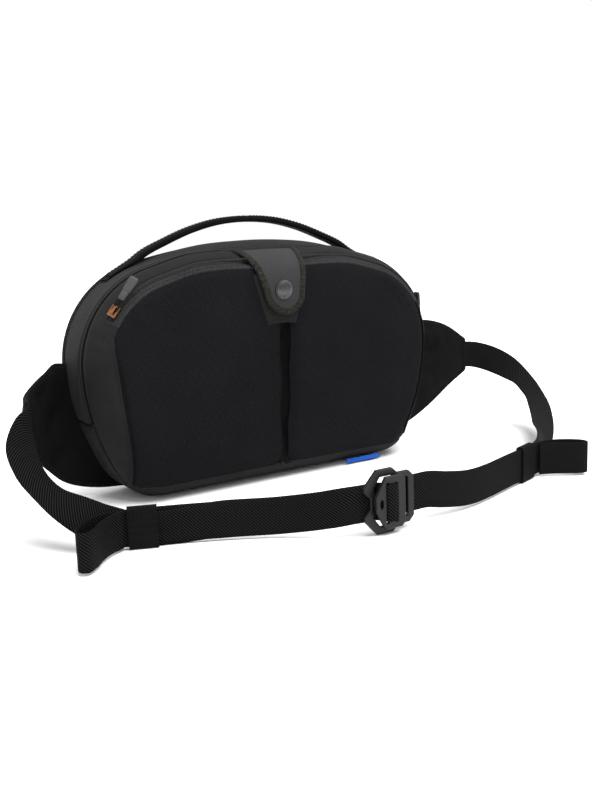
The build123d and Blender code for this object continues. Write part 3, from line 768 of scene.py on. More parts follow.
def slip_pocket():
    flat = plane_patch(8.0, 30, 60)
    keep = flat[:, :, 1] <= 111
    rows = max(2, int(keep.all(axis=1).sum()))
    flat = flat[:rows]
    grid = flat_sheet(flat, BACK_Y - 4.0)
    grid[..., 1] -= 0.7 + 0.9 * np.abs(ripple(grid, 34, 22))
    flip = grid_normals(grid, False)[5, 30, 1] > 0
    hem = grid[-1] + [0, -0.2, 0]
    up = np.tile([0, 0, 1.0], (len(hem), 1))
    parts = [cloth(grid, 0.8, "lining", flip=flip), piping(hem, up, 1.0, "binding")]
    return make("slip_pocket_fabric", parts, ["slip_pocket"], "bag")


def pad_form(loop, base_y, depth, rings=9, channel=None):
    """A crowned pad on the back: loop is its outline as x and z, going out from base_y."""
    loop = np.array(loop, float)
    centre = loop.mean(0)
    points, faces, uvs = [], [], []
    count = len(loop)
    for k in range(rings + 1):
        t = k / rings
        shrink = 1 - (1 - math.cos(t * math.pi / 2)) ** 1.25
        flat = centre + (loop - centre) * max(shrink, 0.004)
        points.append(np.stack([flat[:, 0], np.zeros(count), flat[:, 1]], axis=1))
    points = np.array(points)
    away = np.linalg.norm(points - points[0], axis=2)
    rise = depth * (1 - np.exp(-away / 3.2)) * (1 + 0.06 * ripple(points, 18, 31))
    if channel is not None:
        rise = rise - channel(points) * smooth(away / 6)
    points[..., 1] = base_y + rise
    back = points.copy()
    back[..., 1] = base_y
    for layer, turn in ((0, False), (1, True)):
        first = layer * points.shape[0] * count
        for k in range(rings):
            for j in range(count):
                l = (j + 1) % count
                face = [first + k * count + j, first + k * count + l, first + (k + 1) * count + l,
                        first + (k + 1) * count + j]
                face = face[::-1] if turn else face
                faces.append(face)
    both = np.concatenate([points.reshape(-1, 3), back.reshape(-1, 3)])
    for k, turn in ((0, False), (1, True)):
        first = k * points.shape[0] * count + rings * count
        cap = [first + j for j in range(count)]
        faces.append(cap[::-1] if turn else cap)
    uvs = [[(both[v][0] / 10, both[v][2] / 10) for v in face] for face in faces]
    return Part(both, faces, uvs, "spacer")


def rounded_loop(x0, x1, z0, z1, radius, limit=17.0, step=3.0):
    """A rounded rectangle of x and z, kept inside the bag's outline by limit."""
    corners = [(x1 - radius, z0 + radius, -90), (x1 - radius, z1 - radius, 0), (x0 + radius, z1 - radius, 90),
               (x0 + radius, z0 + radius, 180)]
    loop = []
    for cx, cz, start in corners:
        for a in np.radians(np.linspace(start, start + 90, 7)):
            loop.append((cx + radius * math.cos(a), cz + radius * math.sin(a)))
    loop = np.array(loop + loop[:1])
    fine = evenly(np.hstack([loop, np.zeros((len(loop), 1))]), step)[:-1, :2]
    for _ in range(60):
        short = limit - inset_of(fine[:, 0], fine[:, 1])
        centre = np.array([(x0 + x1) / 2, (z0 + z1) / 2])
        fine = fine + unit(centre - fine) * np.maximum(short, 0)[:, None] * 0.5
    return fine


def back_pads():
    low, high = box_mm("back_pads")
    depth = high[1] - BACK_Y
    spots = [
        ("back_pad_left", low[0], -12.0, 52.0, high[2], 16),
        ("back_pad_right", 12.0, high[0], 52.0, high[2], 16),
        ("lumbar_pad", low[0] + 22, high[0] - 22, 16.0, 42.0, 10),
    ]
    for name, x0, x1, z0, z1, radius in spots:
        loop = rounded_loop(x0, x1, z0, z1, radius)

        def channel(points, level=(z0 + z1) / 2, tall=z1 - z0 > 60):
            if not tall:
                return 0 * points[..., 0]
            return 1.6 * np.exp(-(((points[..., 2] - level) / 2.2) ** 2))

        parts = [pad_form(loop, BACK_Y - 0.5, depth - 0.2, channel=channel)]
        edge = np.stack([loop[:, 0], np.full(len(loop), BACK_Y + 0.3), loop[:, 1]], axis=1)
        out = np.tile([0, 1.0, 0], (len(loop) + 1, 1))
        parts.append(piping(edge, out[:-1], 0.8, "binding", closed=True))
        pad = make(name, parts, ["back_pads"] if name == "back_pad_left" else (), "bag")


# ---------------------------------------------------------------- front pocket

# The wall's outer face from the main zip round to the flat front: inset and y.
FRONT = [(0.4, -9.0), (1.4, -13.5), (3.2, -18.6), (5.2, -22.8), (7.7, -26.1), (10.6, -29.0), (14.0, -31.3),
         (18.0, -32.5), (24.0, -32.9), (60.0, -33.0)]
LEFT_EDGE = ((-136.0, 128.0), (-125.5, 14.0))     # the mesh's straight left edge, x and z
RIGHT_INSET = 13.0
LEAST_REACH = 4.0         # the least inset of the wall's inner edge


def front_y(inset):
    at, y = np.array(FRONT).T
    return np.interp(inset, at, y)


def edge_inset(s):
    """How far in from the outline the pocket's wall reaches, to the mesh, at distances s."""
    x, z, nx, nz = np.moveaxis(along_outline(s), -1, 0)
    (ax, az), (bx, bz) = LEFT_EDGE
    mx, mz = unit(np.array([az - bz, bx - ax]))
    facing = -(nx * mx + nz * mz)
    left = np.where(facing > 0.2, ((ax - x) * mx + (az - z) * mz) / np.maximum(facing, 0.2), 0)
    bottom = np.where(nz < -0.2, (SEAM_BOTTOM_Z - z) / np.maximum(-nz, 0.2), 0)
    left_upper = SEAM_INSET * smooth((z - 30) / 30)
    right_upper = RIGHT_INSET + (SEAM_INSET - RIGHT_INSET) * smooth((z - 120) / 40)
    upper = np.where(x > 0, right_upper * smooth((z - 4) / 16), left_upper)
    return np.maximum.reduce([left, bottom, upper, LEAST_REACH + 0 * x])


# Where the wall's columns lie, as shares of the way in from the outline.
WALL_PLACES = np.array([0, 0.035, 0.1, 0.18, 0.27, 0.36, 0.425, 0.445, 0.5, 0.56, 0.62, 0.68, 0.7, 0.76, 0.83,
                        0.9, 0.95, 0.985, 1.0])


def pocket_wall_grid():
    count = round(AROUND / 2.5)
    s = np.linspace(0, AROUND, count, endpoint=False)
    reach = edge_inset(s)[:, None]
    share = WALL_PLACES[None, :]
    inset = 0.4 + (reach - 0.4) * share
    height = along_outline(s)[:, 1][:, None]
    y = front_y(inset)
    return inset_point(s[:, None], inset, y), s, inset, height


def pocket_wall():
    grid, s, inset, height = pocket_wall_grid()
    out = grid_normals(grid, True)
    middle = len(s) // 2
    sign = 1 if out[middle, 8, 2] > 0 else -1
    out = out * sign
    zone = smooth((height - POCKET_ZIP_END_Z) / 4)
    slot = zone * smooth((inset - ZIP_INSETS[0]) / 0.5) * smooth((ZIP_INSETS[1] - inset) / 0.5)
    offset = -1.9 * slot
    share = np.broadcast_to(WALL_PLACES[None, :], inset.shape)
    offset = offset - 1.1 * smooth((share - 0.95) / 0.05) - 2.2 * smooth((0.05 - share) / 0.05)
    free = hump(share, 0.25)
    offset = offset + 0.35 * ripple(grid, 24, 5) * free * (1 - zone)
    slider_room = smooth((inset - 3.0) / 2) * smooth((12.5 - inset) / 2)
    offset = offset - 0.4 * zone * slider_room
    for start, end, width, depth in (
        ((-150, -16, 133), (-139, -31, 120), 3.2, 1.3), ((-153, -14, 121), (-141, -31, 113), 3.5, 1.0),
        ((-152, -18, 128), (-143, -30, 127), 2.4, -0.8), ((-150, -20, 92), (-140, -31, 72), 5, 0.7),
        ((150, -16, 128), (139, -30, 118), 3.2, 1.0), ((154, -14, 104), (143, -31, 96), 3.5, 0.8),
        ((-146, -14, 48), (-132, -27, 30), 4, 0.9), ((-20, -22, 2), (30, -28, 6), 4, 0.6),
    ):
        offset = offset + crease(grid, start, end, width, depth) * free
    grid = settled(grid + out * offset[..., None])
    under_tab = np.exp(-((grid[..., 0] / 35) ** 4)) * (height > 150) * smooth((15 - inset) / 9)
    grid[..., 2] -= 2.8 * under_tab * smooth((-9.6 - grid[..., 1]) / 3)
    grid = on_floor(grid)

    def looks(row, column):
        # The band above the pocket zip is zip tape, its colour partly the tape's own and partly painted
        # sheen.
        band = height[row, 0] > POCKET_ZIP_END_Z and inset[row, column] > ZIP_INSETS[0] - 0.3
        return "zip_tape" if band else "nylon_side"

    # The wall takes the copy of the nylon painted lighter: painted light.
    parts = [cloth(grid, FABRIC, "nylon_side", closed=True, flip=sign < 0, looks=looks)]
    nodes = ["boxing_upper", "boxing_lower", "pocket_zip_tape"]
    return make("pocket_wall", parts, nodes, fold=front_fold())


def mesh_boundary(first, last, count=80):
    s = np.linspace(first, last, count)
    return inset_point(s, edge_inset(s), 0.0)[:, [0, 2]]


CORNERS = {
    "top_left": AROUND - at_height(1, 128.0), "top_right": at_height(1, 140.0),
    "bottom_right": at_height(1, 9.0), "bottom_left": AROUND - at_height(1, 9.0),
}


def pleat_edge(side, z):
    """Edge of the pleat at height z: it leans, and narrows downwards."""
    share = (z - SEAM_BOTTOM_Z) / (BAG_HEIGHT - SEAM_INSET - SEAM_BOTTOM_Z)
    return -1.0 + 7.0 * share + side * (3.6 + 1.6 * share)


def mesh_side(side):
    """One mesh panel, as a grid of x and z: rows go up, columns go to the right."""
    top_s = at_x(pleat_edge(side, BAG_HEIGHT - SEAM_INSET))
    x = pleat_edge(side, SEAM_BOTTOM_Z)
    bottom_point = np.array([x, SEAM_BOTTOM_Z])
    top_point = mesh_boundary(top_s, top_s + 0.01, 2)[0]
    heights = np.linspace(0, 1, 30)
    bow = (1.5 if side > 0 else 0.0) * np.sin(math.pi * heights) ** 2
    bow = bow + 0.7 * np.sin(heights * 21 + side) * hump(heights, 0.15)
    inner = bottom_point + (top_point - bottom_point) * heights[:, None] + np.stack([bow, 0 * bow], axis=1)
    if side < 0:
        outer = mesh_boundary(CORNERS["top_left"], CORNERS["bottom_left"])[::-1]
        top = mesh_boundary(top_s, CORNERS["top_left"])[::-1]
        bottom = mesh_boundary(CORNERS["bottom_left"], AROUND + x)
        return patch(bottom, inner, top, outer, 60, 50)
    outer = mesh_boundary(CORNERS["bottom_right"], CORNERS["top_right"])
    top = mesh_boundary(CORNERS["top_right"], top_s)[::-1]
    bottom = mesh_boundary(x, CORNERS["bottom_right"])
    return patch(bottom, outer, top, inner, 60, 50)


def mesh_panel(side):
    flat = mesh_side(side)
    rows, columns = flat.shape[:2]
    u, v = np.meshgrid(np.linspace(0, 1, columns), np.linspace(0, 1, rows))
    grid = flat_sheet(flat, front_y(inset_of(flat[..., 0], flat[..., 1])))
    outer = 1 - u if side > 0 else u
    swell = 3.2 * np.sin(math.pi * u) * np.sin(math.pi * v ** 0.9)
    clear = smooth(np.hypot((grid[..., 0]) / 34, (grid[..., 2] - 150) / 40) - 0.45)
    waves = 0.45 * ripple(grid, 26, 41 + side) * hump(u, 0.3) * hump(v, 0.3)
    puckers = 0 * u
    if side > 0:
        corner = ((104, 155, -9, -14), (114, 149, -11, -12), (122, 141, -13, -9), (127, 131, -14, -5))
        width, depth = 2.2, 1.0
    else:
        corner = ((-126, 140, 10, -12), (-114, 151, 8, -13), (-98, 159, 5, -13))
        width, depth = 2.4, 0.7
    for x, z, dx, dz in corner:
        puckers = puckers + crease(grid, (x, -32, z), (x + dx, -33, z + dz), width, depth)
    for z in (28, 48, 74, 100):
        x = pleat_edge(side, z) + side * 7
        puckers = puckers + crease(grid, (x - side * 8, -33, z + 3), (x + side * 10, -33, z - 2), 2.2, 0.5)
    grid[..., 1] -= swell * clear + waves + puckers
    edge = np.minimum(np.minimum(v, 1 - v) * 60, outer * 50 if side < 0 else (1 - u) * 50)
    grid[..., 1] += 1.2 * smooth(1 - edge / 1.2)
    inner = (1 - u if side < 0 else u) * 50
    roll = smooth(1 - inner / 2.6)
    grid[..., 1] += 2.6 * roll ** 1.5
    grid[..., 0] += side * -0.6 * roll
    grid = settled(grid)
    flip = grid_normals(grid, False)[30, 25, 1] > 0
    part = cloth(grid, 1.1, "mesh", flip=flip)
    planar = part.points[:, [0, 2]] / 10
    part.uvs = [[tuple(planar[v]) for v in face] for face in part.faces]
    if side > 0:
        return make("mesh_panel_right", [part], ["mesh_right"], fold=front_fold())
    return make("mesh_panel_left", [part], ["mesh_left", "mesh_lower"], fold=front_fold())


def centre_pleat():
    """Inward fold between the two mesh panels."""
    z = np.linspace(SEAM_BOTTOM_Z - 1, 168, 62)
    across = np.linspace(-1, 1, 15)
    grid = np.zeros((len(z), len(across), 3))
    low, high = pleat_edge(-1, z)[:, None] - 0.6, pleat_edge(1, z)[:, None] + 1.6
    grid[..., 0] = (low + high) / 2 + across[None, :] * (high - low) / 2
    depth = 4.2 * (1 - np.abs(across[None, :]) ** 3)
    ends = hump((z - z[0]) / (z[-1] - z[0]), 0.06)[:, None]
    grid[..., 1] = -30.6 + depth * (0.35 + 0.65 * ends) + 0 * z[:, None]
    grid[..., 2] = z[:, None]
    fold = 0.9 * ripple(grid * [1.2, 1, 0.9], 6, 3) * (1 - across[None, :] ** 2)
    high = smooth((z[:, None] - 95) / 25)
    low = smooth((40 - z[:, None]) / 20)
    fold = fold * (0.5 + high + low)
    ridge = 1.6 * np.exp(-((across[None, :] - 0.15 * np.sin(z[:, None] / 9)) / 0.22) ** 2) * (high + low)
    grid[..., 1] -= fold + ridge
    flip = grid_normals(grid, False)[30, 7, 1] > 0
    part = cloth(grid, 0.9, "nylon", flip=flip)
    return make("pleat_fold", [part], ["centre_pleat", "pleat_lower"], fold=front_fold())


def divider():
    flat = plane_patch(2.4, 50, 70)
    grid = flat_sheet(flat, -9.2)
    grid[..., 1] += 0.4 * ripple(grid, 30, 61)
    flip = grid_normals(grid, False)[20, 30, 1] > 0
    part = cloth(grid, 0.9, "lining", flip=flip)
    return make("divider_fabric", [part], ["divider_upper", "divider_lower"], fold=front_fold())


def seam_trim():
    """Folded edge and topstitching beside the mesh's straight sides, and the seam round its top."""
    parts = []
    spans = [
        (CORNERS["top_left"] + 4, CORNERS["bottom_left"] - 4, 3.2),
        (CORNERS["bottom_right"] + 6, CORNERS["top_right"] - 2, 2.6),
    ]
    for first, last, back in spans:
        s = np.linspace(first, last, 60)
        reach = edge_inset(s)
        for inset, kind in ((reach - 0.5, "pipe"), (reach - back, "stitch")):
            line = inset_point(s, inset, front_y(inset))
            line[:, 1] -= 0.15 if kind == "pipe" else 0.1
            line = settled(line)
            outwards = np.stack([np.sign(line[:, 0]), 0 * s, 0 * s], axis=1)
            out = np.tile([0, -1.0, 0], (len(s), 1)) + 0.35 * outwards
            if kind == "pipe":
                parts.append(piping(line, out, 0.75, "nylon"))
            else:
                parts.append(stitches(line, out, pitch=3.0, length=2.3, radius=0.24))
    s = np.linspace(CORNERS["top_right"], CORNERS["top_left"], 150)
    inset = edge_inset(s) - 2.6
    line = settled(inset_point(s, inset, front_y(inset) - 0.1))
    rows = along_outline(s)
    out = np.stack([rows[:, 2] * 0.6, -np.ones(len(s)), rows[:, 3] * 0.6], axis=1)
    parts.append(stitches(line, out, pitch=2.8, length=2.0, radius=0.2))
    return make("pocket_seam_trim", parts, fold=front_fold())


def pocket_zip():
    first, last = at_height(1, POCKET_ZIP_END_Z + 1), AROUND - at_height(1, POCKET_ZIP_END_Z + 1)
    s = np.linspace(first, last, 300)
    inset = (ZIP_INSETS[0] + ZIP_INSETS[1]) / 2
    line = settled(inset_point(s, inset - 0.3, front_y(inset) - 0.05))
    rows = along_outline(s)
    out = np.stack([rows[:, 2] * 0.72, -0.69 * np.ones(len(s)), rows[:, 3] * 0.72], axis=1)
    parts = [coil(line, out, width=2.2, radius=0.4, pitch=1.3)]
    return make("pocket_zip_teeth", parts, ["pocket_zip_coil"], "front_panel")


def main_zip():
    first, last = at_height(1, FOLD_Z + 2), AROUND - at_height(1, FOLD_Z + 2)
    s = np.linspace(first, last, 400)
    rows = along_outline(s)
    out = np.stack([rows[:, 2], np.zeros(len(s)), rows[:, 3]], axis=1)
    line = settled(inset_point(s, 0.85, ZIP_Y + 0 * s))
    teeth = coil(line, out, width=2.4, radius=0.42, pitch=1.3)
    make("main_zip_teeth", [teeth], ["main_zip_coil"], "bag")

    def tape(y0, y1, places):
        def profile(s, t):
            return through(t, places) + 0 * s, y0 + (y1 - y0) * t + 0 * s

        grid = settled(swept(first - 3, last + 3, profile, 9)[0])
        flip = grid_normals(grid, False)[60, 2, 2] < 0
        return cloth(grid, 0.5, "nylon", flip=flip)

    rear = tape(-2.4, ZIP_Y + 0.15, [(0, 3.2), (0.55, 2.9), (0.8, 1.5), (1, 1.2)])
    make("main_zip_tape_back", [rear], ["main_zip_tape_rear"], "bag")
    fore = tape(ZIP_Y - 0.15, -10.4, [(0, 1.2), (0.2, 1.5), (0.45, 2.9), (1, 3.2)])
    make("main_zip_tape_fore", [fore], ["main_zip_tape_front"], "front_panel")


def label():
    low, high = box_mm("label")
    z = np.array([high[2] - 0.1, 3.2, 1.9, 0.9, 0.75, 1.5, 3.0, high[2] - 0.4])
    y = np.array([-27.0, -27.4, -27.9, -27.7, -26.9, -26.5, -26.4, -26.2])
    rows = curve(np.stack([0 * z, y, z], axis=1), 0.7)
    x = np.linspace(low[0], high[0], 24)
    grid = np.zeros((len(x), len(rows), 3))
    grid[..., 0] = x[:, None]
    grid[..., 1] = rows[None, :, 1] + 0.15 * np.sin(x / 5)[:, None]
    grid[..., 2] = rows[None, :, 2]
    part = cloth(grid, 0.3, "label_blue", flip=grid_normals(grid, False)[12, 1, 1] > 0)
    return make("fold_label", [part], ["label"], "bag")


# ---------------------------------------------------------------- snap tab

TAB_HALF_TOP, TAB_HALF_TIP = 29.0, 18.0
TAB_BINDING = 5.0
# Where the tab lifts: its two bodies and the ends of its span in metres.
TAB_BEND = ("front_panel", "tab", (0, -0.0105, 0.18), (0, -0.031, 0.18))
TAB_LINE = [(0, -9.4, 181.4), (0, -13.5, 181.3), (0, -18.0, 180.6), (0, -23.5, 178.2), (0, -28.6, 174.4),
            (0, -33.4, 168.6), (0, -35.6, 162.0), (0, -36.4, 153.0), (0, -36.2, 143.0), (0, -36.0, 132.0)]


def tab_surface():
    """Middle line of the tab with its distance from the root, and its outward directions."""
    line = curve(TAB_LINE, 0.8)
    run = unit(np.gradient(line, axis=0))
    out = np.cross(run, [1.0, 0, 0])
    out = out * (1 if out[-1, 1] < 0 else -1)
    return line, out, lengths(line)


def tab_point(x, along):
    """Points of the tab's middle layer at x across and a distance along it, and outward directions."""
    line, out, at = tab_surface()
    y, z = np.interp(along, at, line[:, 1]), np.interp(along, at, line[:, 2])
    oy, oz = np.interp(along, at, out[:, 1]), np.interp(along, at, out[:, 2])
    cup = 0.35 * (np.asarray(x) / 20) ** 2
    lean = 6.0 * np.asarray(along) / at[-1] - 2.5
    return (np.stack([x + lean, y + cup, z], axis=-1), unit(np.stack([0 * y, oy, oz], axis=-1)))


def tab_edge(inset, count=120):
    """The tab's outline, moved inwards: x and distance along, from the left root round the tip."""
    length = tab_surface()[2][-1]
    radius = TAB_HALF_TIP
    tip = length - radius
    slope = math.atan2(TAB_HALF_TOP - TAB_HALF_TIP, tip)
    side = [(-(TAB_HALF_TOP - inset), 0.0), (-(radius - inset) * math.cos(slope * 0.6), tip)]
    arc = [(-(radius - inset) * math.cos(a), tip + (radius - inset) * math.sin(a))
           for a in np.linspace(0.08, math.pi - 0.08, 40)]
    points = np.array(side + arc + [(-side[1][0], side[1][1]), (-side[0][0], 0.0)])
    return evenly(np.hstack([points, np.zeros((len(points), 1))]), lengths(points)[-1] / count)[:, :2]


def tab_core():
    length = tab_surface()[2][-1]
    edge = tab_edge(TAB_BINDING - 1.5)
    rows = 60
    along = np.linspace(0, length - TAB_BINDING + 1.45, rows)
    left = edge[: len(edge) // 2]
    half = np.interp(along, left[:, 1], -left[:, 0])
    across = np.linspace(-1, 1, 21)
    x = half[:, None] * across[None, :]
    mid, out = tab_point(x, np.broadcast_to(along[:, None], x.shape))
    swell = 0.5 * hump((across[None, :] + 1) / 2, 0.35) * hump(along[:, None] / length, 0.12)
    waves = 0.12 * ripple(mid, 16, 71)
    grid = mid + out * (0.7 + swell + waves)[..., None]
    flip = np.sum(grid_normals(grid, False)[30, 10] * out[30, 10]) < 0
    part = cloth(grid, 1.6, "tab_face", flip=flip)
    return make("tab_face_panel", [part], ["tab_core"], fold=TAB_BEND)


def tab_binding():
    edge = tab_edge(TAB_BINDING / 2)
    mid, out = tab_point(edge[:, 0], edge[:, 1])
    mid = mid + out * 0.1
    across, out = frames(mid, out)
    half, t = TAB_BINDING / 2, 1.35
    loop = [(-half, 0.9), (-half * 0.7, t), (0, t * 1.08), (half * 0.7, t), (half, 0.6), (half * 1.08, 0.0),
            (half, -0.6), (half * 0.7, -t), (-half * 0.7, -t), (-half, -0.8)]
    middle = mid.mean(0)
    inward = np.sum(across[60] * (middle - mid[60])) > 0
    section = np.array(loop) * ([-1, 1] if inward else [1, 1])
    section = section if inward else section[::-1]
    parts = [tube(mid, across, out, section[::-1], "binding")]
    rows = tab_edge(TAB_BINDING - 0.9)
    place, away = tab_point(rows[:, 0], rows[:, 1])
    parts.append(stitches(place + away * 1.45, away, pitch=2.6, length=1.9, radius=0.24))
    return make("tab_binding_tape", parts, ["tab_binding"], fold=TAB_BEND)


def snap_patch():
    low, high = box_mm("snap_patch")
    top, bottom = high[0], 13.0
    rows, columns = 24, 20
    v, u = np.linspace(0, 1, rows)[:, None], np.linspace(-1, 1, columns)[None, :]
    half = bottom + (top - bottom) * v
    grid = np.zeros((rows, columns, 3))
    grid[..., 0] = half * u * (1 - 0.03 * (1 - v) * u**2)
    grid[..., 2] = low[2] + (high[2] - low[2]) * v - 1.2 * (1 - v) * u**2
    edge = np.minimum((1 - np.abs(u)) * half, np.minimum(v, 1 - v) * (high[2] - low[2]))
    grid[..., 1] = low[1] + 0.9 * np.exp(-edge / 0.9) + 0.15 * ripple(grid, 9, 8)
    flip = grid_normals(grid, False)[12, 10, 1] > 0
    # The patch takes the copy of the nylon painted lighter: painted light.
    parts = [cloth(grid, 1.0, "nylon_side", flip=flip)]
    sides = [np.array([(-top + 2.4, 0, high[2] - 1), (-bottom + 1.9, 0, low[2] + 2.2)]),
             np.array([(-bottom + 1.9, 0, low[2] + 2.2), (bottom - 1.9, 0, low[2] + 2.2)]),
             np.array([(bottom - 1.9, 0, low[2] + 2.2), (top - 2.4, 0, high[2] - 1)])]
    for line in sides:
        line = evenly(line, 2.0)
        line[:, 1] = low[1] - 0.05
        facing = np.tile([0, -1.0, 0], (len(line), 1))
        parts.append(stitches(line, facing, pitch=2.6, length=1.9, radius=0.22))
    return make("snap_patch_fabric", parts, ["snap_patch"], "front_panel")


# ---------------------------------------------------------------- zip pulls

def pull_grip(node, name, body):
    """A tapered grip with a waist and a raised end, in place of the plain one."""
    points = np.array([v.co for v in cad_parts[node].data.vertices]) / MM
    centre = points.mean(0)
    values, axes = np.linalg.eigh(np.cov((points - centre).T))
    along, across = axes[:, 2], axes[:, 1]
    reach = (points - centre) @ along
    width_at_high = np.ptp(((points - centre) @ across)[reach > reach.max() * 0.8])
    width_at_low = np.ptp(((points - centre) @ across)[reach < reach.min() * 0.8])
    along = along if width_at_high > width_at_low else -along
    reach = (points - centre) @ along
    out = np.cross(along, across)
    t = np.linspace(0, 1, 32)
    middle = centre + np.outer(reach.min() + t * np.ptp(reach), along)
    width = np.interp(t, [0, 0.06, 0.3, 0.34, 0.4, 0.92, 1], [1.9, 2.4, 2.7, 2.3, 3.0, 3.6, 2.9])
    thick = np.interp(t, [0, 0.06, 0.3, 0.34, 0.4, 0.92, 1], [0.9, 1.2, 1.25, 1.0, 1.3, 1.4, 0.9])
    angles = np.linspace(0, math.tau, 24, endpoint=False)
    square = np.sign(np.cos(angles)) * np.abs(np.cos(angles)) ** 0.45, np.sign(np.sin(angles)) * np.abs(
        np.sin(angles)) ** 0.45
    section = np.stack([width[:, None] * square[0], -thick[:, None] * square[1]], axis=-1)
    parts = [tube(middle, np.tile(across, (len(t), 1)), np.tile(out, (len(t), 1)), section, "rubber")]
    return make(name, parts, [node], body, sharp=70)


# ---------------------------------------------------------------- handle

HANDLE_Y = 21.0
HANDLE_TOP = 206.5
HANDLE_SPAN = (0.112, 0.058)     # x in metres of the two ends of the handle's span


def handle_line():
    """Middle line of the handle from its left end to its right end."""
    foot = inset_point(np.array([at_height(-1, 166.0)]), -1.6, 0.0)[0]
    near = inset_point(np.array([at_height(-1, 171.5)]), -2.0, 0.0)[0]
    left = [foot, near, (-98, 0, 177.6), (-88, 0, 183.6), (-72, 0, 190.6), (-49, 0, 199.2), (-25, 0, 204.8),
            (0, 0, HANDLE_TOP)]
    left = np.array([[p[0], HANDLE_Y, p[2]] for p in left])
    right = left[-2::-1] * [-1, 1, 1]
    return curve(np.vstack([left, right]), 2.0)


def handle_half(side):
    line = handle_line()
    line = line[line[:, 0] * side >= -1e-6]
    line[np.argmin(np.abs(line[:, 0])), 0] = 0.0
    run = unit(np.gradient(line, axis=0))
    run[np.argmin(np.abs(line[:, 0]))] = [1, 0, 0]
    across = np.tile([0, 1.0, 0], (len(line), 1))
    out = unit(np.cross(run, across))
    out = out * np.where(out[:, 2:] < 0, -1, 1)
    far = np.abs(line[:, 0])
    thick = 1.2 + 2.2 * smooth((112 - far) / 22)
    angles = np.linspace(0, math.tau, 28, endpoint=False)
    cos, sin = np.cos(angles), np.sin(angles)
    wide = 6.5 * np.sign(cos) * np.abs(cos) ** 0.35
    tall = np.sign(sin) * np.abs(sin) ** 0.8
    section = np.stack([np.broadcast_to(wide, (len(line), 28)), thick[:, None] * 0.75 * tall], axis=-1)
    turned = np.sum(np.cross(run[5], across[5]) * out[5]) > 0
    section = section[:, ::-1] if turned else section
    parts = [tube(line, across, out, section, "handle_web")]
    for y in (-4.6, 4.6):
        row = line + across * y + out * (thick * 0.72)[:, None]
        parts.append(stitches(row, out, pitch=3.2, length=2.3, radius=0.26))
    start, end = ((side * x, HANDLE_Y * MM, 0.19) for x in HANDLE_SPAN)
    name = "handle_right" if side > 0 else "handle_left"
    half = make(name, parts, ["handle", "handle_ends"] if side < 0 else ["handle"],
                fold=("bag", "handle", start, end))
    return half


def handle_anchors():
    """Stitched ends of the handle on the gusset."""
    parts = []
    for side in (-1, 1):
        s = np.linspace(at_height(side, 170.5), at_height(side, 163.5), 12)
        rows = along_outline(s)
        across = np.tile([0, 1.0, 0], (len(s), 1))
        out = np.stack([rows[:, 2], 0 * s, rows[:, 3]], axis=1)
        line = inset_point(s, -0.9, HANDLE_Y + 0 * s)
        section = flat_section(12.0, 1.6, 8)
        turned = np.sum(np.cross(unit(np.gradient(line, axis=0))[5], across[5]) * out[5]) < 0
        parts.append(tube(line, across, out, section if turned else section[::-1], "handle_web"))
        for y in (-4.6, 0.0, 4.6):
            parts.append(stitches(line + across * y + out * 0.85, out, pitch=2.4, length=1.9, radius=0.28))
        for k in (1, -2):
            width = np.linspace(-4.6, 4.6, 8)[:, None]
            row = line[k] + across[k] * width + out[k] * 0.9
            parts.append(stitches(row, np.tile(out[k], (8, 1)), pitch=2.0, length=1.7, radius=0.28))
    return make("handle_anchor_patches", parts, ["handle_anchors"], "bag")


# ---------------------------------------------------------------- hip wings

# From the gusset to the tip: x, y of the middle, low and high edge.
RIGHT_WING = [(138, 25, 6, 103), (150, 25.6, 8.5, 105), (176, 27, 17, 107), (200, 28.5, 29, 105),
              (221, 29.5, 42, 98), (243, 30, 54, 84)]
LEFT_WING = [(-138, 25.5, 4, 103), (-150, 26, 6, 104), (-162, 25.5, 13, 103.5), (-174, 22, 25, 97),
             (-187, 11, 40, 90), (-195, -6, 50, 87.5), (-199, -24, 59, 87)]
WING_THICK = 5.0


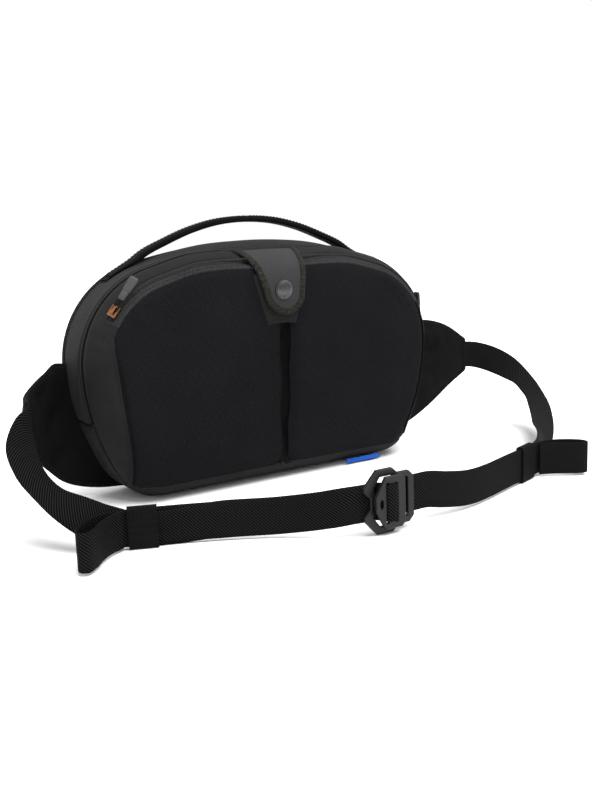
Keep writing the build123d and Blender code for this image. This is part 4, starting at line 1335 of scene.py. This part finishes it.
def wing(name, node, sections, side, folds):
    rows = curve([(x, y, 0, low, high) for x, y, low, high in sections], 2.5)
    middle = rows[:, :3]
    run = unit(np.gradient(middle, axis=0))
    out = unit(np.cross(run, [0, 0, 1.0]))
    out = out * np.where(out[:, 1:2] > 0, -1, 1) if abs(run[-1, 0]) > 0.5 else out * np.sign(out[0, 1] * -1)
    columns = 34
    v = np.linspace(0, 1, columns)
    height = rows[:, 3:4] + (rows[:, 4:5] - rows[:, 3:4]) * v[None, :]
    x, y = (np.broadcast_to(middle[:, k:k + 1], height.shape) for k in (0, 1))
    grid = np.stack([x, y, height], axis=-1)
    near = 1 - smooth((np.abs(middle[:, :1]) - abs(middle[0, 0])) / 34)
    root = inset_point(at_height(side, np.maximum(height, 0.5)), 2.0, 0.0)[..., 0]
    grid[..., 0] += (root - middle[0, 0]) * near
    edge = np.minimum(v, 1 - v)[None, :] * (rows[:, 4:5] - rows[:, 3:4])
    tip = (lengths(middle)[-1] - lengths(middle))[:, None]
    half = WING_THICK / 2 * (1 - 0.62 * np.exp(-edge / 3.5)) * (0.5 + 0.5 * smooth(tip / 12))
    waves = (0.9 * ripple(grid, 19, 81) + 0.45 * ripple(grid, 9, 82)) * smooth(edge / 12)
    for start, end, width, depth in folds:
        waves = waves + 1.5 * crease(grid, start, end, width, depth) * smooth(edge / 5)
    front = grid + out[:, None] * (half + waves)[..., None]
    back = grid - out[:, None] * (half - waves * 0.6)[..., None]
    loop = np.concatenate([front, back[:, ::-1]], axis=1)
    n, m = loop.shape[:2]
    flat = loop.reshape(-1, 3)
    faces, uvs = [], []
    u = lengths(middle) / 10
    w = np.concatenate([v, v[::-1]])
    for i in range(n - 1):
        tall = (rows[i, 4] - rows[i, 3]) / 10
        for j in range(m):
            l = (j + 1) % m
            faces.append([i * m + j, i * m + l, (i + 1) * m + l, (i + 1) * m + j])
            corners = ((i, j), (i, l), (i + 1, l), (i + 1, j))
            uvs.append([(u[p], w[q] * tall) for p, q in corners])
    for i, order in ((0, range(m - 1, -1, -1)), (n - 1, range(m))):
        faces.append([i * m + j for j in order])
        uvs.append([(flat[i * m + j][1] / 10, flat[i * m + j][2] / 10) for j in order])
    normal = np.cross(flat[faces[0][1]] - flat[faces[0][0]], flat[faces[0][3]] - flat[faces[0][0]])
    if np.sum(normal * out[0]) < 0:
        faces = [face[::-1] for face in faces]
        uvs = [uv[::-1] for uv in uvs]
    parts = [Part(flat, faces, uvs, "nylon")]
    border = np.concatenate([grid[:, 0], grid[-1, 1:-1], grid[::-1, -1]])
    outward = np.concatenate([out, np.tile(out[-1], (columns - 2, 1)), out[::-1]])
    border = evenly(np.hstack([border, outward]), 2.5)
    line, facing = border[:, :3], border[:, 3:]
    across, facing = frames(line, facing)
    inward = np.sum(across[10] * (grid.reshape(-1, 3).mean(0) - line[10])) > 0
    binding = [(-2.6, 1.5), (0, 1.9), (0.9, 1.2), (1.3, 0), (0.9, -1.2), (0, -1.9), (-2.6, -1.5)]
    section = np.array(binding) * ([-1, 1] if inward else [1, 1])
    parts.append(tube(line, across, facing, section if inward else section[::-1], "webbing"))
    sign = 1 if inward else -1
    for away in (1, -1):
        row = line + across * sign * 1.8 + facing * away * 1.85
        parts.append(stitches(row, facing * away, pitch=3.0, length=2.2, radius=0.24))
    piece = make(name, parts, [node], "bag")
    return piece


def wings():
    left_folds = [((-150, 24, 92), (-178, 18, 44), 6, 2.6), ((-166, 24, 98), (-190, 4, 62), 5, 1.8),
                  ((-150, 24, 40), (-178, 19, 30), 5, 2.0), ((-158, 24, 70), (-186, 10, 40), 4, -1.8),
                  ((-194, -4, 88), (-192, 0, 52), 4, 1.4), ((-172, 20, 96), (-196, -12, 82), 3.5, -1.2)]
    right_folds = [((160, 24, 88), (214, 28, 74), 5, 1.6), ((156, 24, 50), (206, 28, 62), 5, 1.2),
                   ((170, 24, 96), (222, 28, 88), 4, -1.0)]
    wing("hip_wing_left", "wing_left", LEFT_WING, -1, left_folds)
    wing("hip_wing_right", "wing_right", RIGHT_WING, 1, right_folds)


# ---------------------------------------------------------------- belt

WEBBING, STRAP, LAYER = 25.0, 1.6, 0.85
BELT_Z = 14.0
BUCKLE_X, BUCKLE_Z = -34.0, 21.5
LEFT_RUN = [(-168, -108, 14), (-104, -133, 14), (-74, -151, 15), (-54, -168.5, 18.5), (-40, -179.4, 21.5)]
RIGHT_RUN = [(152, -150, 14), (124, -159.12, 14), (96, -168.24, 14), (86, -171.5, 14), (58, -178.4, 15),
             (36, -180.6, 18.5), (20, -181.0, 21.5)]

# From the wing down to the keeper the webbing turns over: a point and its width direction.
LEFT_DROP = [
    (-198.2, -20.0, 73.5, 0, 0, -1), (-199.7, -29.5, 73, 0.1, 0, -1), (-205, -36, 69.5, 0.45, 0.1, -0.85),
    (-210, -43, 60, 0.9, 0.3, -0.35), (-209, -55, 46.5, 0.9, 0.4, -0.15), (-202, -72, 34, 0.85, 0.5, 0.05),
    (-192, -88, 25.5, 0.75, 0.35, 0.5), (-180.5, -100.5, 18.5, 0.4, 0.2, 0.9),
]
RIGHT_DROP = [
    (238, 30.0, 69, 0, 0, -1), (250, 30.0, 68.5, -0.05, 0, -1), (264, 25, 65, -0.3, 0.05, -0.95),
    (277, 12, 57, -0.75, 0.2, -0.6), (283, -7, 45, -0.93, 0.3, 0.0), (275, -33, 32, -0.85, 0.4, 0.3),
    (252, -63, 23, -0.75, 0.45, 0.45), (221, -94, 17.5, -0.55, 0.45, 0.7),
    (186, -126, 14.5, -0.15, 0.15, 0.97),
]
RING_WRAP = [(45, -179.95), (31, -179.85), (27.4, -180.4), (25.9, -181.3), (25.4, -182.7), (25.4, -185.3),
             (25.9, -186.35), (27.2, -186.65), (28.7, -186.6), (30.0, -185.9), (31.8, -184.0), (33.3, -182.3),
             (35.0, -181.6), (41, -181.55)]
LEFT_LOOP = [(-178, -106.6), (-189, -110.4), (-198, -119.4), (-204, -129.4), (-205, -135.9), (-201.5, -137.9),
             (-195, -133.4), (-187, -123.4), (-177, -114.4), (-169, -110.3)]
RIGHT_LOOP = [(162, -148.6), (174, -151), (184, -158), (189.5, -166), (189, -170.5), (184.5, -170.5),
              (176, -165), (166, -158), (156, -152.8)]
TOGGLE_WRAP = [(9.6, -180.05), (11.2, -180.4), (13.2, -181.9), (15.8, -184.3), (18.2, -185.9),
               (20.4, -186.45), (21.7, -187.1), (22.2, -188.3), (22.2, -190.0), (21.6, -191.0),
               (20.4, -191.3), (16.6, -191.3),
               (15.3, -191.0), (14.9, -189.9), (14.7, -188.0), (13.7, -185.9), (12.0, -183.6), (10.8, -182.2),
               (9.6, -181.75)]


def beside(points, distance):
    """The same route moved sideways, to the left of its direction."""
    rows = np.array(points, float)
    run = unit(np.gradient(rows[:, :2], axis=0))
    moved = rows.copy()
    moved[:, 0] -= run[:, 1] * distance
    moved[:, 1] += run[:, 0] * distance
    return [tuple(row) for row in moved]


def upright(points):
    return [(*point, 0, 0, 1) for point in points]


def in_buckle(points):
    return [(BUCKLE_X + x, y, BUCKLE_Z) for x, y in points]


def belt():
    left_back = beside(LEFT_RUN, LAYER) + in_buckle([(2, -180.0), (9.4, -180.05)])
    left_front = beside(LEFT_RUN, -LAYER) + in_buckle([(2, -181.65), (9.4, -181.7)])
    strap = ribbon(LEFT_DROP + upright(left_back), WEBBING, STRAP, "webbing", wave=0.25)
    make("belt_left", [strap], ["webbing_left"], "bag")
    loop = [(x, y, BELT_Z) for x, y in LEFT_LOOP]
    strap = ribbon(upright(left_front[::-1] + loop), WEBBING, STRAP, "webbing", 1.5)
    make("belt_left_tail", [strap], ["tail_left"], "bag")
    right_back = beside(RIGHT_RUN, -LAYER)
    right_back[-1] = (BUCKLE_X + 54, -180.0, BUCKLE_Z)
    wrap = upright(in_buckle(RING_WRAP))
    strap = ribbon(RIGHT_DROP + upright(right_back) + wrap, WEBBING, STRAP, "webbing", 1.2, wave=0.2)
    make("belt_right", [strap], ["webbing_right"], "bag")
    right_front = beside(RIGHT_RUN, LAYER)[::-1]
    right_front[0] = (BUCKLE_X + 54, -181.65, BUCKLE_Z)
    loop = [(x, y, BELT_Z) for x, y in RIGHT_LOOP]
    tail = upright(in_buckle([(41.2, -181.55)]) + right_front + loop)
    make("belt_right_tail", [ribbon(tail, WEBBING, STRAP, "webbing", 1.5)], ["tail_right"], "bag")
    turn = ribbon(upright(in_buckle(TOGGLE_WRAP)), WEBBING, STRAP * 0.92, "webbing", 0.7)
    start, end = ((BUCKLE_X + x) * MM for x in (9.8, 17.0))
    make("belt_toggle_turn", [turn], ["toggle_loop"],
         fold=("bag", "toggle", (start, -0.185, BUCKLE_Z * MM), (end, -0.185, BUCKLE_Z * MM)))


def keeper(node, name, run):
    """Elastic band round both layers of the belt, pinched a little at its middle."""
    low, high = box_mm(node)
    centre = (low + high) / 2
    along = unit(np.array([run[1][0] - run[0][0], run[1][1] - run[0][1], 0.0]))
    aside = np.array([-along[1], along[0], 0])
    t = np.linspace(-9.5, 9.5, 14)
    angles = np.linspace(0, math.tau, 40, endpoint=False)
    squeeze = 1 + 0.05 * (t / 9.5) ** 2
    thick, tall = 3.1, (high[2] - low[2]) / 2

    def ring(half_thick, half_tall):
        a = np.sign(np.cos(angles)) * np.abs(np.cos(angles)) ** 0.3 * half_thick
        b = np.sign(np.sin(angles)) * np.abs(np.sin(angles)) ** 0.3 * half_tall
        return np.stack([a, b], axis=1)

    outer, inner = ring(thick, tall - 0.2), ring(thick - 1.0, tall - 1.2)
    rows = []
    for k, section in [(k, outer) for k in range(len(t))] + [(k, inner) for k in range(len(t) - 1, -1, -1)]:
        place = centre + along * t[k]
        scale = squeeze[k] if section is outer else 1.0
        rows.append(place + np.outer(section[:, 0] * scale, aside) + np.outer(section[:, 1], [0, 0, 1.0]))
    grid = np.array(rows)
    n, m = grid.shape[:2]
    faces, uvs = [], []
    for i in range(n):
        k = (i + 1) % n
        for j in range(m):
            l = (j + 1) % m
            faces.append([i * m + j, k * m + j, k * m + l, i * m + l])
            uvs.append(cell_uv(i, j, 7))
    flat = grid.reshape(-1, 3)
    normal = np.cross(flat[faces[0][1]] - flat[faces[0][0]], flat[faces[0][3]] - flat[faces[0][0]])
    if np.sum(normal * (flat[0] - centre)) < 0:
        faces, uvs = [f[::-1] for f in faces], [w[::-1] for w in uvs]
    return make(name, [Part(flat, faces, uvs, "elastic")], [node], node)


def keepers():
    keeper("keeper_left", "keeper_band_left", LEFT_RUN)
    keeper("keeper_right", "keeper_band_right", RIGHT_RUN)


# ---------------------------------------------------------------- stage

CAMERA_PLACE = Vector((-0.3546, -0.6376, 0.1972))      # metres
CAMERA_TARGET = Vector((0.0345, 0.0075, 0.0587))
CAMERA_ROLL = math.radians(-2.29)
LENS = 41.2               # mm
SUN_AIM = Vector((-0.15, 0.3, -1.0))
FLOOR_Z = -0.0004         # just under the bag, in metres


def camera():
    data = bpy.data.cameras.new("camera")
    obj = bpy.data.objects.new("camera", data)
    bpy.context.scene.collection.objects.link(obj)
    turn = (CAMERA_TARGET - CAMERA_PLACE).to_track_quat("-Z", "Y").to_matrix().to_4x4()
    roll = Matrix.Rotation(CAMERA_ROLL, 4, "Z")
    obj.matrix_world = Matrix.Translation(CAMERA_PLACE) @ turn @ roll
    data.lens = LENS
    data.clip_start = 0.01
    bpy.context.scene.camera = obj


def floor():
    bpy.ops.mesh.primitive_plane_add(size=8, location=(0, 0, FLOOR_Z))
    obj = bpy.context.object
    obj.name = "floor"
    n = Nodes("floor")
    colour = n.between(n.noise(3.0), grey(0.86), grey(0.9), 0.3, 0.7)
    obj.data.materials.append(n.finish(colour, n.number(n.noise(8.0), 0.85, 0.95), None))


def lights():
    world = bpy.data.worlds.new("studio")
    bpy.context.scene.world = world
    world.use_nodes = True
    background = world.node_tree.nodes["Background"]
    background.inputs["Color"].default_value = (1, 1, 1, 1)
    background.inputs["Strength"].default_value = 1.0
    data = bpy.data.lights.new("softbox", "SUN")
    data.energy = 5.0
    data.angle = math.radians(50)
    softbox = bpy.data.objects.new("softbox", data)
    softbox.rotation_euler = SUN_AIM.to_track_quat("-Z", "Y").to_euler()
    bpy.context.scene.collection.objects.link(softbox)


# ---------------------------------------------------------------- everything

make_materials()
dress_cad_nodes()
gusset_upper()
gusset_lower()
gusset_seams()
rear_binding()
back_panel()
slip_pocket()
back_pads()
pocket_wall()
mesh_panel(-1)
mesh_panel(1)
centre_pleat()
divider()
seam_trim()
pocket_zip()
main_zip()
label()
tab_core()
tab_binding()
snap_patch()
pull_grip("pocket_pull_grip", "pocket_grip", "pocket_pull")
pull_grip("main_pull_grip", "main_grip", "main_pull")
handle_half(-1)
handle_half(1)
handle_anchors()
wings()
belt()
keepers()
camera()
floor()
lights()
bpy.context.scene.view_settings.view_transform = "Standard"
